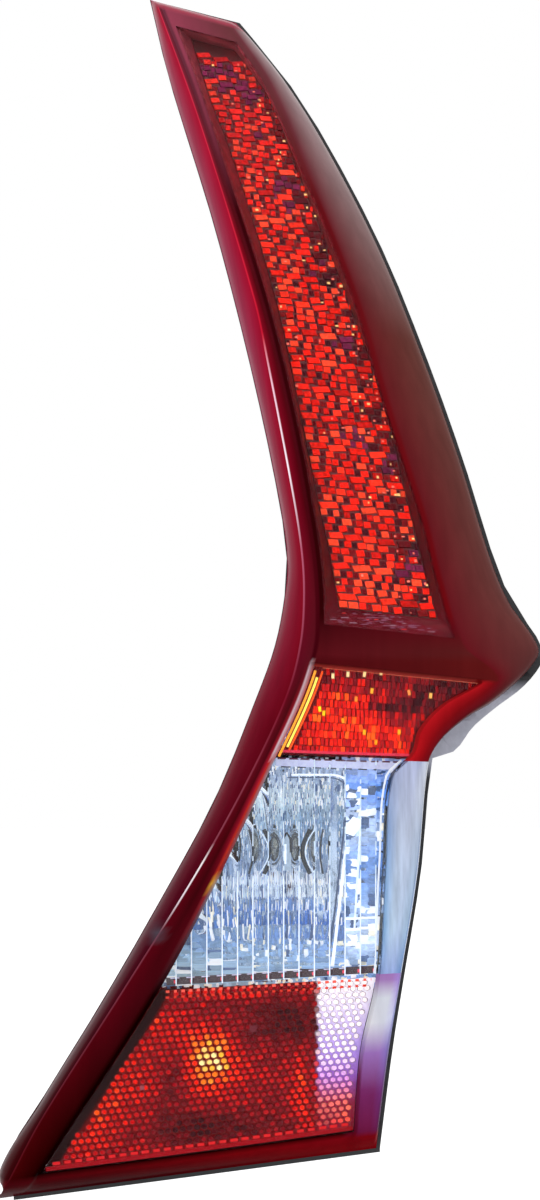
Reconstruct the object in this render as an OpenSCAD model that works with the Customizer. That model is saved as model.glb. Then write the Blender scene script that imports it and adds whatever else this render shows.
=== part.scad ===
// Right-hand pillar tail lamp. X runs to the right as seen from behind the car, Y into the car, Z up.
// The origin is the seat of the main stud. Lines and rows below are written in lamp coordinates, whose
// zero is at the lower left corner of the lamp, and at_mount() moves them to the origin.

/* [Outline] */
// Height of the lamp from its bottom lip to the tip of the arm
lamp_h = 750; // [680:5:820]
// Width of the lamp across its shoulder
lamp_w = 331; // [305:1:360]

/* [Lens] */
// Wall of the lens
lens_wall = 2.6; // [2.2:0.1:3]
// How far the lower windows lie behind the frame strip
recess = 6; // [4.5:0.5:7.5]
// Width of the step from the frame strip down to a window
step_w = 2.5; // [2:0.5:4]
// Width of one flute of the clear window
flute_w = 9.3; // [7.5:0.1:12]
// Height of a flute behind the wall
flute_rise = 1.2; // [0.9:0.1:1.5]
// Height of a pillow optic behind the wall
pillow_rise = 1; // [0.6:0.1:1.4]
// Radius of the lens face's bow to the right of its ridge
lens_bow = 1200; // [1000:50:2400]

/* [Housing] */
// Wall of the housing
shell_wall = 2.6; // [2.2:0.1:3]
// How far the housing's lip shows past the lens
lip = 2.4; // [1.5:0.1:3.5]
// Thickness of the flange behind the lens rim
flange_t = 3; // [2.5:0.1:4]
// Width of the ledge between the lens edge and the housing's tub
ledge_w = 9; // [8:0.5:10]
// Depth of the tub behind the rim in the arm
arm_depth = 32; // [30:1:36]
// Place of the flat back of the lower tub, behind the front of the lamp
back_y = 128; // [124:1:136]
// Gap between the lens rim and the flange
seam = 0.25; // [0.2:0.05:0.4]

/* [Studs] */
// Thread diameter of the studs
stud_d = 6; // [5:1:8]
// Free length of a stud past its seat
stud_l = 22; // [16:1:30]
// Diameter of a stud's collar
collar_d = 14; // [12:0.5:15]
// Thickness of a stud's collar
collar_t = 2.5; // [2:0.1:3]
// Diameter of the boss that holds a stud
boss_d = 19; // [18:0.5:22]
// Height of a boss above the back wall
boss_h = 4; // [3:0.5:6]

/* [Arm] */
// How far the reflex panel lies behind the lens face
panel_recess = 18; // [15:1:20]
// Thickness of the reflex panel
panel_t = 2.2; // [1.8:0.1:2.6]
// Number of brick rows
brick_rows = 76; // [30:2:90]
// Number of bricks in a row
brick_cols = 5; // [3:1:6]
// Height of a brick's crown
brick_rise = 1; // [0.5:0.1:1.4]
// Wall of the bezel
bezel_wall = 1.8; // [1.4:0.1:2.2]
// Thickness of the lamp board
board_t = 1.6; // [1.2:0.2:2]
// Side of one lamp package on the board
led_w = 3.5; // [2.8:0.1:5]
// Number of lamp packages in each of two columns
led_rows = 12; // [6:1:14]

/* [Reflectors] */
// Wall of a reflector
bowl_wall = 2; // [1.6:0.1:2.4]
// Focal length of the bowls
focal = 20; // [18:0.5:22]
// Gap from a reflector's edge to the edge of its window
edge_gap = 2; // [1.5:0.1:3]

/* [Bulbs] */
// Diameter of a bulb's glass
glass_d = 25; // [22:0.5:26]
// Diameter of a bulb's base
base_d = 15; // [14:0.5:16]
// Length of a bulb's base
base_l = 19; // [17:0.5:21]
// Length of a bulb's glass past its base
glass_l = 31; // [28:0.5:33]

/* [Carrier] */
// Radius of the carrier plate round each bulb
carrier_r = 27; // [26:0.5:29]
// Thickness of the carrier plate
carrier_t = 2.4; // [2:0.1:3]
// Thickness of the seal under the carrier
carrier_seal_t = 1.6; // [1.2:0.1:2.4]
// Depth of the socket on the carrier
socket_h = 18; // [16:1:22]
// Spacing of the connector's pins
pin_pitch = 4; // [3.6:0.1:4.2]

/* [Seals] */
// Thickness of the foam ring round the lamp
foam_t = 5; // [4:0.5:7]

/* [Hidden] */

kx = lamp_w / 331;
kz = lamp_h / 750;
clear = 0.3;
far = 500;
// Length by which a bore runs past the wall that it opens
past = 10;

// Each line gives [height, place to the right] from the bottom up, at the real lamp's size
function line(raw) = [for (p = raw) [p[0] * kz, p[1] * kx]];
outer_left = line([[-6, 3], [6, -5], [52, 22], [114, 60], [175, 95], [236, 128], [298, 153.5], [330, 165],
    [360, 171], [385, 172.5], [424, 167], [504, 150], [594, 127], [690, 98], [740, 86]]);
ridge = line([[8, 4], [44, 23], [120, 71], [199, 120], [262, 154], [305, 173], [333, 180], [359, 182],
    [385, 181], [420, 176], [505, 160], [543, 152], [656, 118], [735, 90]]);
strip_in = line([[10, 20], [27, 31], [115, 88], [182, 124], [264, 163], [299, 179], [326, 188], [342, 190],
    [374, 189], [406, 185], [467, 174], [543, 156], [636, 127], [685, 111], [735, 92]]);
window_right = line([[30, 213], [84, 217], [128, 226], [200, 230], [252, 234], [266, 247], [281, 252],
    [296, 266], [308, 287], [318, 296]]);
front_right = line([[24, 225], [88, 233], [132, 240.5], [195, 250], [256, 256], [266, 259], [277, 266],
    [290, 280], [301, 294], [311, 301], [318, 296], [330, 281], [368, 268], [407, 258.5], [476, 237],
    [546, 217], [636, 182], [682, 162], [714, 141]]);
outer_right = line([[20, 227], [84, 235], [129, 242], [192, 252], [262, 259], [275, 267], [288, 283],
    [296, 297], [310, 314], [320, 323], [327, 326.5], [336, 323], [358, 308], [385, 297], [445, 279],
    [509, 257], [578, 230], [644, 197], [688, 170], [722, 143]]);
shelf_right = line([[262, 261], [266, 274], [281, 286], [293, 300], [305, 316], [318, 327], [327, 329.5]]);
panel_left = line([[348, 205], [389, 198], [421, 191], [471, 181], [543, 166], [637, 138], [670, 125.5],
    [711, 113]]);
panel_right = line([[344, 264], [379, 255], [421, 245], [477, 232], [543, 210], [637, 175], [671, 162],
    [705, 139]]);
// Depth lines give [height, place behind the front of the lamp]
function depth(raw) = [for (p = raw) [p[0] * kz, p[1]]];
rim_line = depth([[-20, 69], [0, 66], [130, 56], [262, 50], [330, 52], [400, 66], [500, 90], [600, 118],
    [717, 150], [745, 158]]);
face_line = depth([[-20, 32], [0, 30], [130, 16], [262, 9], [330, 6], [400, 18], [500, 42], [600, 72],
    [717, 112], [745, 122]]);

// Height of a row where it crosses the middle of the lamp, and its rise to the right
x_mid = 170 * kx;
function row(z, rise) = [z * kz, rise * kz / kx];
rim_row = row(14.1, 0.135);
foot_row = row(28.4, 0.126);
low_row = row(128.8, 0.055);
mid_row = row(264.2, -0.034);
crease_row = row(323.2, -0.1);
top_row = row(707.7, -0.28);
tip_row = row(717, -0.28);
panel_foot = row(358, -0.115);
panel_top = row(696, -0.27);

function mix(a, b, t) = a + (b - a) * t;
function rows_between(a, b, n) = [for (i = [0 : n - 1]) mix(a, b, i / n)];
function unit(v) = v / norm(v);

// A smooth curve through a line's points, straight past its ends
function gap_at(t, z, i = 0) = i >= len(t) - 2 || z < t[i + 1][0] ? i : gap_at(t, z, i + 1);
function grade(t, i) = let (a = max(i - 1, 0), b = min(i + 1, len(t) - 1))
    (t[b][1] - t[a][1]) / (t[b][0] - t[a][0]);
function along(t, z) = let (n = len(t) - 1)
    z <= t[0][0] ? t[0][1] + grade(t, 0) * (z - t[0][0]) :
    z >= t[n][0] ? t[n][1] + grade(t, n) * (z - t[n][0]) :
    let (i = gap_at(t, z), h = t[i + 1][0] - t[i][0], s = (z - t[i][0]) / h, r = 1 - s)
    t[i][1] * (1 + 2 * s) * r * r + t[i + 1][1] * (3 - 2 * s) * s * s
        + h * grade(t, i) * s * r * r - h * grade(t, i + 1) * s * s * r;
// Height at which a row meets a line, moved sideways by dx
function meet(t, r, dx = 0, n = 9, z = undef) = let (h = z == undef ? r[0] : z)
    n == 0 ? h : meet(t, r, dx, n - 1, r[0] + r[1] * (along(t, h) + dx - x_mid));
function spot(t, r, dx = 0) = let (z = meet(t, r, dx)) [along(t, z) + dx, z];
function rim_y(z) = along(rim_line, z);
function face_y(z) = along(face_line, z);
function face_at(p) = face_y(p[1]) + pow(max(0, p[0] - along(ridge, p[1])), 2) / (2 * lens_bow);

module at_mount() translate([-main_x, -seat_y, -main_z]) children();
module along_y(y0, y1) translate([0, y1, 0]) rotate([90, 0, 0]) linear_extrude(y1 - y0) children();
module along_x(x0, x1) translate([x0, 0, 0]) rotate([90, 0, 90]) linear_extrude(x1 - x0) children();
module pin_y(x, y0, y1, z, d) translate([x, y0, z]) rotate([-90, 0, 0]) cylinder(h = y1 - y0, d = d, $fn = 40);

// The lens is a grid of rows and columns. A row's kind is 1 in the body with its windows and 2 in the
// arm, and 0 or 3 for the rim's own row below or above them
body_rows = concat(rows_between(foot_row, low_row, 5), rows_between(low_row, mid_row, 6),
    rows_between(mid_row, crease_row, 7));
shoulder_rows = rows_between(crease_row, mix(crease_row, top_row, 0.1), 5);
arm_rows = rows_between(mix(crease_row, top_row, 0.1), top_row, 15);
ROWS = concat([concat(rim_row, 0)], [for (r = body_rows) concat(r, 1)],
    [[crease_row[0] - step_w, crease_row[1], 1]], [for (r = shoulder_rows) concat(r, 2)],
    [for (r = arm_rows) concat(r, 2)], [concat(top_row, 2)], [concat(tip_row, 3)]);
clear_from = 6;
clear_to = 12;
crease_at = 20;
face_cols = 7;
foot_col = 6;
edge_col = foot_col + face_cols;
front_col = edge_col + 2;
roll_cols = 4;
last_col = front_col + roll_cols;
last_row = len(ROWS) - 1;

// Shares of the way across and of the depth at which the left flank's columns lie
flank = [[0, 0], [0.2, 0.42], [0.6, 0.82], [0.88, 0.96], [1, 1]];
function flank_spot(r, f) = let (z = meet(ridge, r) * f[0] + meet(outer_left, r) * (1 - f[0]))
    [mix(along(outer_left, z), along(ridge, z), f[0]), mix(rim_y(z), face_y(z), f[1]), z];
function roll_spot(r, a) = let (p = spot(front_right, r), q = spot(outer_right, r))
    [mix(p[0], q[0], sin(a)), mix(rim_y(q[1]), face_at(p), cos(a)), mix(p[1], q[1], sin(a))];
function face_spot(r, c) =
    let (arm = r[2] >= 2, s = (c - foot_col) / (front_col - foot_col),
        a = spot(strip_in, r, step_w),
        b = arm ? spot(front_right, r) : spot(window_right, r),
        t = arm ? s : (c - foot_col) / face_cols,
        p = mix(a, b, t))
    [p[0], face_at(p) + (arm ? 0 : recess), p[1]];
function lens_spot(r, c) =
    c < 5 ? flank_spot(r, flank[c]) :
    c == 5 ? let (p = spot(strip_in, r)) [p[0], face_at(p) + 1, p[1]] :
    c <= edge_col ? face_spot(r, c) :
    c == edge_col + 1 && r[2] < 2 ? let (p = spot(window_right, r, step_w)) [p[0], face_at(p) + 1, p[1]] :
    c == edge_col + 1 ? face_spot(r, c) :
    roll_spot(r, 90 * (c - front_col) / roll_cols);
function on_rim(p) = [p[0], rim_y(p[2]), p[2]];
OUTER = [for (r = ROWS) [for (c = [0 : last_col]) r[2] % 3 == 0 ? on_rim(lens_spot(r, c)) : lens_spot(r, c)]];

// The inner face lies one wall behind the outer one, and stays in the rim's own surface at the edge
function tip_dir(r, c) = let (h = OUTER[r][min(c + 1, last_col)] - OUTER[r][max(c - 1, 0)],
        v = OUTER[min(r + 1, last_row)][c] - OUTER[max(r - 1, 0)][c])
    [h, v];
function flat_normal(v, side) = let (n = norm([v[0], v[2]])) side * [v[2], 0, -v[0]] / n;
function inward(r, c) = let (d = tip_dir(r, c), h = d[0], v = d[1],
        left = c == 0, right = c == last_col, low = r == 0, high = r == last_row)
    !(left || right || low || high) ? unit(cross(v, h)) :
    (left ? flat_normal(v, 1) : right ? flat_normal(v, -1) : [0, 0, 0])
        + (low ? flat_normal(h, -1) : high ? flat_normal(h, 1) : [0, 0, 0]);
function inner_spot(r, c) = let (p = OUTER[r][c] + lens_wall * inward(r, c),
        edge = c == 0 || c == last_col || r == 0 || r == last_row)
    edge ? on_rim(p) : p;
INNER = [for (r = [0 : last_row]) [for (c = [0 : last_col]) inner_spot(r, c)]];

// Cells with pillow optics are cut into pillow_grid small cells on the inner face
pillow_grid = [2, 3];
function has_pillows(r, c) = c >= foot_col && c < edge_col
    && ((r >= 1 && r < clear_from) || (r >= clear_to && r < crease_at - 1));
function is_clear(r, c) = r >= clear_from && r < clear_to && c >= foot_col;
function inside(r, c, u, v) = mix(mix(INNER[r][c], INNER[r][c + 1], u),
    mix(INNER[r + 1][c], INNER[r + 1][c + 1], u), v);
function crown(r, c, u, v) = inside(r, c, u, v) + pillow_rise * unit(
    INNER[r][c] + INNER[r + 1][c + 1] - OUTER[r][c] - OUTER[r + 1][c + 1]);
function pillows(r, c) = let (nu = pillow_grid[0], nv = pillow_grid[1])
    [for (a = [0 : nu - 1]) for (b = [0 : nv - 1])
        let (m = crown(r, c, (a + 0.5) / nu, (b + 0.5) / nv),
            p = inside(r, c, a / nu, b / nv), q = inside(r, c, (a + 1) / nu, b / nv),
            s = inside(r, c, (a + 1) / nu, (b + 1) / nv), t = inside(r, c, a / nu, (b + 1) / nv))
        each [[p, q, m], [q, s, m], [s, t, m], [t, p, m]]];

// Points along an inner edge from one grid point to the next, with the last one left out
function steps(a, b, n) = [for (k = [0 : n - 1]) mix(a, b, k / n)];
function cuts_across(r, c) = has_pillows(r, c) || has_pillows(r - 1, c) ? pillow_grid[0] : 1;
function cuts_up(r, c) = has_pillows(r, c) || has_pillows(r, c - 1) ? pillow_grid[1] : 1;
function inner_loop(r, c) = let (a = INNER[r][c], d = INNER[r][c + 1], e = INNER[r + 1][c + 1],
        b = INNER[r + 1][c])
    concat(steps(a, d, cuts_across(r, c)), steps(d, e, cuts_up(r, c + 1)),
        steps(e, b, cuts_across(r + 1, c)), steps(b, a, cuts_up(r, c)));
function fan(m, loop) = let (n = len(loop)) [for (k = [0 : n - 1]) [loop[k], loop[(k + 1) % n], m]];
function inner_cell(r, c) = has_pillows(r, c) ? pillows(r, c) : let (loop = inner_loop(r, c))
    len(loop) == 4 ? [[loop[0], loop[1], loop[2]], [loop[0], loop[2], loop[3]]]
        : fan(inside(r, c, 0.5, 0.5), loop);
function outer_cell(r, c) = let (a = OUTER[r][c], b = OUTER[r + 1][c], e = OUTER[r + 1][c + 1],
        d = OUTER[r][c + 1])
    [[a, b, e], [a, e, d]];

// A wall closes the shell where the next cell is not part of it. Both neighbours split it alike
function wall_up(o1, o2, i1, i2, n) = concat([[o1, o2, i2]],
    [for (k = [0 : n - 1]) [o1, mix(i2, i1, k / n), mix(i2, i1, (k + 1) / n)]]);
function wall_down(o1, o2, i1, i2, n) = concat([[o1, o2, i1]],
    [for (k = [0 : n - 1]) [o2, mix(i2, i1, k / n), mix(i2, i1, (k + 1) / n)]]);
function walls(r, c, has) = concat(
    has(r - 1, c) ? [] : wall_up(OUTER[r][c], OUTER[r][c + 1], INNER[r][c], INNER[r][c + 1],
        cuts_across(r, c)),
    has(r, c + 1) ? [] : wall_up(OUTER[r][c + 1], OUTER[r + 1][c + 1], INNER[r][c + 1],
        INNER[r + 1][c + 1], cuts_up(r, c + 1)),
    has(r + 1, c) ? [] : wall_down(OUTER[r + 1][c + 1], OUTER[r + 1][c], INNER[r + 1][c + 1],
        INNER[r + 1][c], cuts_across(r + 1, c)),
    has(r, c - 1) ? [] : wall_down(OUTER[r + 1][c], OUTER[r][c], INNER[r + 1][c], INNER[r][c],
        cuts_up(r, c)));
module solid_of(triangles) polyhedron(points = [for (t = triangles) each t],
    faces = [for (k = [0 : len(triangles) - 1]) [3 * k, 3 * k + 1, 3 * k + 2]]);
module lens_shell(has) solid_of([for (r = [0 : last_row - 1]) for (c = [0 : last_col - 1]) if (has(r, c))
    each concat(outer_cell(r, c), inner_cell(r, c), walls(r, c, has))]);
function in_lens(r, c) = r >= 0 && c >= 0 && r < last_row && c < last_col;

module lens_red() color([0.55, 0.04, 0.07, 0.85]) at_mount()
    lens_shell(function (r, c) in_lens(r, c) && !is_clear(r, c));

// Flutes stand on the inner face of the clear window, upright and side by side. Each follows the bow there
flute_r = (flute_w * flute_w / 4 + flute_rise * flute_rise) / (2 * flute_rise);
flute_low = spot(window_right, low_row)[1];
flute_top = spot(window_right, mid_row)[1];
flute_right = spot(window_right, low_row)[0] - step_w;
flutes_wide = floor((flute_right - spot(strip_in, low_row)[0]) / flute_w);
module flute(x) let (w = flute_w / 2, h = flute_top - flute_low + 4 * flute_w, z = (flute_low + flute_top) / 2,
        swing = atan((face_at([x + w, z]) - face_at([x - w, z])) / flute_w),
        rake = atan((face_at([x, flute_top]) - face_at([x, flute_low])) / (flute_top - flute_low)))
    translate([x, face_at([x, z]) + recess, z]) rotate([-rake, 0, swing]) intersection() {
        translate([0, lens_wall + flute_rise - flute_r, -h / 2]) cylinder(r = flute_r, h = h, $fn = 48);
        translate([-w, lens_wall / 2, -h / 2]) cube([flute_w, far, h]);
    }
module flutes() intersection() {
    along_y(0, far) polygon(window_points(low_row, mid_row, step_w + 4 * clear, 4 * clear));
    union() for (k = [0 : flutes_wide]) flute(flute_right - (k + 0.5) * flute_w);
}
module lens_clear() color([0.85, 0.9, 0.95, 0.5]) at_mount() union() {
    lens_shell(function (r, c) in_lens(r, c) && is_clear(r, c));
    flutes();
}

// Points round a window, from one row up to another, drawn in by the gaps left at its sides and ends
function window_points(a, b, side, end, left = strip_in, right = window_right, n = 6) =
    let (rows = [for (i = [0 : n]) mix([a[0] + end, a[1]], [b[0] - end, b[1]], i / n)])
    concat([for (r = rows) spot(left, r, side)], [for (i = [n : -1 : 0]) spot(right, rows[i], -side)]);
function in_window(a, b, t, s, left = strip_in, right = window_right) = let (r = mix(a, b, t))
    mix(spot(left, r), spot(right, r), s);

// Centres of the three bulbs
mid_c = in_window(mid_row, crease_row, 0.45, 0.5);
reverse_c = in_window(low_row, mid_row, 0.56, 0.37);
lower_c = in_window(foot_row, low_row, 0.55, 0.39);
bulbs = [mid_c, reverse_c, lower_c];

// The lamp's outline at the rim, and the housing's, which adds the lip and the shelf under the shoulder
left_edge = [for (r = OUTER) [r[0][0], r[0][2]]];
right_edge = [for (r = OUTER) [r[last_col][0], r[last_col][2]]];
module lamp_outline(grow = 0) offset(delta = grow) polygon(concat(left_edge,
    [for (i = [last_row : -1 : 0]) right_edge[i]]));
shelf_low = shelf_right[0][0];
shelf_top = shelf_right[len(shelf_right) - 1][0];
function lip_spot(p) = [p[0] + lip, p[1]];
function shelf_spot(z) = [max(along(outer_right, z) + lip, along(shelf_right, z)), z];
lip_edge = concat([for (p = right_edge) if (p[1] < shelf_low) lip_spot(p)],
    [for (k = [0 : 16]) shelf_spot(mix(shelf_low, shelf_top, k / 16))],
    [for (p = right_edge) if (p[1] > shelf_top) lip_spot(p)]);
module housing_outline() polygon(concat([left_edge[0] - [clear, lip]],
    [for (p = left_edge) p - [clear, 0]], backwards(lip_edge), [right_edge[0] + [lip, -lip]]));

// Side profiles: the rim's surface, and the back of the tub with its ramp from the body to the arm
rim_stops = [for (z = [-40, 0, 60, 130, 200, 262, 285, 300, 312, 324, 336, 348, 360, 375, 390, 405, 425,
    450, 475, 500, 550, 600, 650, 700, 745, 770]) z * kz];
ramp_low = 322 * kz;
ramp_top = 345 * kz;
arm_stops = [for (z = [345, 400, 450, 500, 550, 600, 650, 700, 770]) z * kz];
function arm_back(z) = rim_y(z) + arm_depth;
function backwards(t) = [for (i = [len(t) - 1 : -1 : 0]) t[i]];
function rim_side(dy) = [for (z = rim_stops) [rim_y(z) + dy, z]];
function back_side(dy) = concat([[back_y + dy, rim_stops[0]], [back_y + dy, ramp_low]],
    [for (z = arm_stops) [arm_back(z) + dy, z]]);
module rim_band(dy, t) along_x(-far, far) polygon(concat(rim_side(dy), backwards(rim_side(dy + t))));
module tub_side(grow = 0) along_x(-far, far) offset(delta = grow)
    polygon(concat(rim_side(seam), backwards(back_side(0))));
module tub_hollow() intersection() {
    along_y(-far, far) lamp_outline(-ledge_w - shell_wall);
    along_x(-far, far) offset(delta = -shell_wall)
        polygon(concat([[-far, rim_stops[0]], [-far, 770 * kz]], backwards(back_side(0))));
}

// Studs: main and lower stand on the flat back, the upper one on a pad on the sloping arm
main_z = 300 * kz;
main_x = along(outer_right, main_z) - ledge_w - boss_d / 2 - 3;
seat_y = back_y + boss_h;
lower_stud_c = in_window(foot_row, low_row, 0.35, 0.86);
upper_z = 640 * kz;
upper_x = (along(outer_left, upper_z) + along(outer_right, upper_z)) / 2;
pad_d = boss_d + 12;
pad_deep = 14;
pad_y = arm_back(upper_z + pad_d / 2) + 0.5;
upper_seat_y = pad_y + boss_h;
stud_root = 8;
studs = [[main_x, seat_y, main_z], [lower_stud_c[0], seat_y, lower_stud_c[1]],
    [upper_x, upper_seat_y, upper_z]];
module stud(p) {
    pin_y(p[0], p[1] - stud_root, p[1] + stud_l - 1, p[2], stud_d);
    translate([p[0], p[1] + stud_l - 1, p[2]]) rotate([-90, 0, 0])
        cylinder(h = 1, d1 = stud_d, d2 = stud_d - 2, $fn = 40);
    pin_y(p[0], p[1] - collar_t, p[1], p[2], collar_d);
}
module stud_bore(p) {
    pin_y(p[0], p[1] - stud_root - 0.2, p[1] + 1, p[2], stud_d + 0.2);
    pin_y(p[0], p[1] - collar_t, p[1] + 1, p[2], collar_d + 0.4);
}
module main_stud() color("silver") at_mount() stud(studs[0]);
module lower_stud() color("silver") at_mount() stud(studs[1]);
module upper_stud() color("silver") at_mount() stud(studs[2]);
module stud_seals() color("dimgray") at_mount() for (i = [0 : 2]) let (p = studs[i]) difference() {
    pin_y(p[0], p[1] - boss_h, p[1] + 1, p[2], pad_d - 1);
    pin_y(p[0], p[1] - boss_h - 1, p[1] + 2, p[2], boss_d + 2 * clear);
}

// Reflectors: each is cut from a bowl of revolution by the outline of its window
filament_up = 13;
bulb_end = back_y - 1;
bowl_y = bulb_end - base_l - filament_up + focal;
bowl_reach = 100;
neck_gap = 0.7;
function plate_y(c) = rim_y(c[1]) - 4;
function parabola(grow, n = 12) = [for (k = [0 : n]) let (r = bowl_reach * k / n)
    [r + (k > 0 ? grow * 0.6 : 0), r * r / (4 * focal) - grow]];
module bowl(c, grow) translate([c[0], bowl_y, c[1]]) rotate([90, 0, 0]) rotate_extrude($fn = 64)
    polygon(concat(parabola(grow), [[0, bowl_reach * bowl_reach / (4 * focal) - grow]]));
ear_d = 9;
ear_out = 6.5;
ear_at = [0.2, 0.8];
screw_d = 3.5;
function ears(a, b) = [for (t = ear_at) spot(strip_in, mix(a, b, t), -ear_out)];
module reflector(a, b, c) let (y = plate_y(c)) difference() {
    union() {
        intersection() {
            along_y(y, far) polygon(window_points(a, b, edge_gap, edge_gap));
            bowl(c, bowl_wall);
        }
        along_y(y, y + bowl_wall) polygon(window_points(a, b, edge_gap, edge_gap));
        for (e = ears(a, b)) {
            pin_y(e[0], y, y + bowl_wall, e[1], ear_d);
            translate([e[0], y, e[1] - ear_d / 2]) cube([ear_out + edge_gap + 4, bowl_wall, ear_d]);
        }
    }
    intersection() {
        along_y(-far, far) polygon(window_points(a, b, edge_gap + bowl_wall, edge_gap + bowl_wall));
        bowl(c, 0);
    }
    pin_y(c[0], y, far, c[1], glass_d + 2 * neck_gap);
    for (e = ears(a, b)) pin_y(e[0], y - 1, y + bowl_wall + 1, e[1], screw_d + 0.4);
}
module mid_reflector() color("gainsboro") at_mount() reflector(mid_row, crease_row, mid_c);
module reverse_reflector() color("gainsboro") at_mount() reflector(low_row, mid_row, reverse_c);
module lower_reflector() color("gainsboro") at_mount() reflector(foot_row, low_row, lower_c);
seats = [[mid_row, crease_row, mid_c], [low_row, mid_row, reverse_c], [foot_row, low_row, lower_c]];
screw_l = 12;
module reflector_screws() color("silver") at_mount()
    for (s = seats) for (e = ears(s[0], s[1])) let (y = plate_y(s[2])) {
        pin_y(e[0], y - 2.2, y, e[1], 2 * screw_d);
        pin_y(e[0], y, y + screw_l, e[1], screw_d);
    }
module reflector_posts() for (s = seats) for (e = ears(s[0], s[1])) let (y = plate_y(s[2]) + bowl_wall)
    pin_y(e[0], y, back_y - shell_wall / 2, e[1], ear_d - 1);
module reflector_bores() for (s = seats) for (e = ears(s[0], s[1])) let (y = plate_y(s[2]) + bowl_wall)
    pin_y(e[0], y - 1, y + screw_l, e[1], screw_d + 0.1);

// Bulbs stand on their bases with the glass towards the lens
glass_profile = [[8, 0], [9.5, 3], [12, 8], [12.5, 13], [12.3, 19], [11, 24], [8, 28.5], [4, 30.6], [0, 31]];
glass_wall = 0.9;
function glass_out() = [for (p = glass_profile) [p[0] * glass_d / 25, p[1] * glass_l / 31]];
function glass_in() = [for (p = glass_profile) [max(p[0] * glass_d / 25 - glass_wall, 0),
    p[1] * (glass_l - glass_wall) / 31]];
module on_bulb(c) translate([c[0], bulb_end - base_l, c[1]]) rotate([90, 0, 0]) children();
module bulb_glass(c) color([0.9, 0.9, 0.9, 0.4]) at_mount() on_bulb(c) rotate_extrude($fn = 48)
    polygon(concat(glass_out(), backwards(glass_in())));
module bulb_base(c) color("goldenrod") at_mount() {
    pin_y(c[0], bulb_end - base_l, bulb_end - 2, c[1], base_d);
    pin_y(c[0], bulb_end - 2, bulb_end, c[1], base_d - 5);
    translate([c[0] - base_d / 2 - 1.2, bulb_end - 7, c[1]]) rotate([0, 90, 0])
        cylinder(h = base_d + 2.4, d = 2, $fn = 24);
}
post_gap = 3;
module bulb_filament(c) color("gray") at_mount() on_bulb(c) union() {
    for (s = [-1, 1]) translate([s * post_gap, 0, 0]) cylinder(h = filament_up + 0.4, d = 0.8, $fn = 16);
    translate([-post_gap - 0.4, 0, filament_up]) rotate([0, 90, 0])
        cylinder(h = 2 * post_gap + 0.8, d = 1.2, $fn = 20);
}
module mid_bulb_glass() bulb_glass(mid_c);
module mid_bulb_base() bulb_base(mid_c);
module mid_bulb_filament() bulb_filament(mid_c);
module reverse_bulb_glass() bulb_glass(reverse_c);
module reverse_bulb_base() bulb_base(reverse_c);
module reverse_bulb_filament() bulb_filament(reverse_c);
module lower_bulb_glass() bulb_glass(lower_c);
module lower_bulb_base() bulb_base(lower_c);
module lower_bulb_filament() bulb_filament(lower_c);

// Carrier: a plate along the three bulbs, with a cup for each base and the socket on its back
legs = [[lower_c, reverse_c], [reverse_c, mid_c]];
plate_front = back_y + carrier_seal_t;
plate_back = plate_front + carrier_t;
opening_r = carrier_r - 6;
cup_wall = 3.2;
socket_c = (reverse_c + mid_c) / 2;
pins = 6;
socket_in = [pin_pitch * (pins - 1) + 6, 11];
socket_wall = 1.8;
pin_w = 0.8;
pin_reach = socket_h - 7;
// The carrier's line through the three bulbs, moved sideways by d with a sharp corner at the bend
function side_way(a, b) = let (v = unit(b - a)) [-v[1], v[0]];
function beside(d) = let (n = side_way(lower_c, reverse_c), m = side_way(reverse_c, mid_c))
    [lower_c + d * n, reverse_c + d * (n + m) / (1 + n * m), mid_c + d * m];
module strip(d, width, y0, y1) along_y(y0, y1) polygon(concat(beside(d - width / 2),
    backwards(beside(d + width / 2))));
module capsule(r, y0, y1) {
    for (c = bulbs) pin_y(c[0], y0, y1, c[1], 2 * r);
    strip(0, 2 * r - 1.2, y0, y1);
}
module socket_box(size, y0, y1) translate([socket_c[0] - size[0] / 2, y0, socket_c[1] - size[1] / 2])
    cube([size[0], y1 - y0, size[1]]);
track_off = 16;
module tail(c, y0, y1, width) translate([c[0], y0, c[1] - width / 2]) cube([track_off, y1 - y0, width]);
track_w = 3;
track_t = 0.8;
tail_w = 2.4;
module bulb_carrier() color("dimgray") at_mount() difference() {
    union() {
        capsule(carrier_r, plate_front, plate_back);
        for (c = bulbs) pin_y(c[0], bulb_end - base_l + 1, plate_front, c[1], base_d + 2 * cup_wall);
        socket_box(socket_in + 2 * [socket_wall, socket_wall], plate_back - 1, plate_back + socket_h);
    }
    for (c = bulbs) {
        pin_y(c[0], 0, plate_front, c[1], base_d + 2 * clear);
        translate([c[0] - base_d, bulb_end - base_l, c[1] - 1.4]) cube([2 * base_d, 14.5, 2.8]);
        tail(c, plate_front - track_t - 0.2, plate_front, tail_w + 0.4);
    }
    socket_box(socket_in, plate_back, far);
    for (k = [0 : pins - 1]) pin_box(k, plate_front - 1, plate_back + 1, pin_w + 0.2);
}
module pin_box(k, y0, y1, w) translate([socket_c[0] + (k - (pins - 1) / 2) * pin_pitch - w / 2, y0,
    socket_c[1] - w / 2]) cube([w, y1 - y0, w]);
module connector_pins() color("gold") at_mount()
    for (k = [0 : pins - 1]) pin_box(k, plate_front, plate_back + pin_reach, pin_w);
module conductor_tracks() color("gold") at_mount() for (s = [-1, 1]) difference() {
    strip(s * track_off, track_w, plate_front - track_t, plate_front);
    for (c = bulbs) tail(c, plate_front - 2 * track_t, plate_front + 1, tail_w);
}
module bulb_contacts() color("gold") at_mount() for (c = bulbs) union() {
    pin_y(c[0], bulb_end, plate_front, c[1], 5);
    tail(c, plate_front - track_t, plate_front, tail_w);
}
module carrier_seal() color("black") at_mount() difference() {
    capsule(carrier_r - 1, back_y, plate_front);
    capsule(opening_r + 0.5, back_y - 1, plate_front + 1);
}
hook_w = 8;
hook_t = 2;
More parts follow.
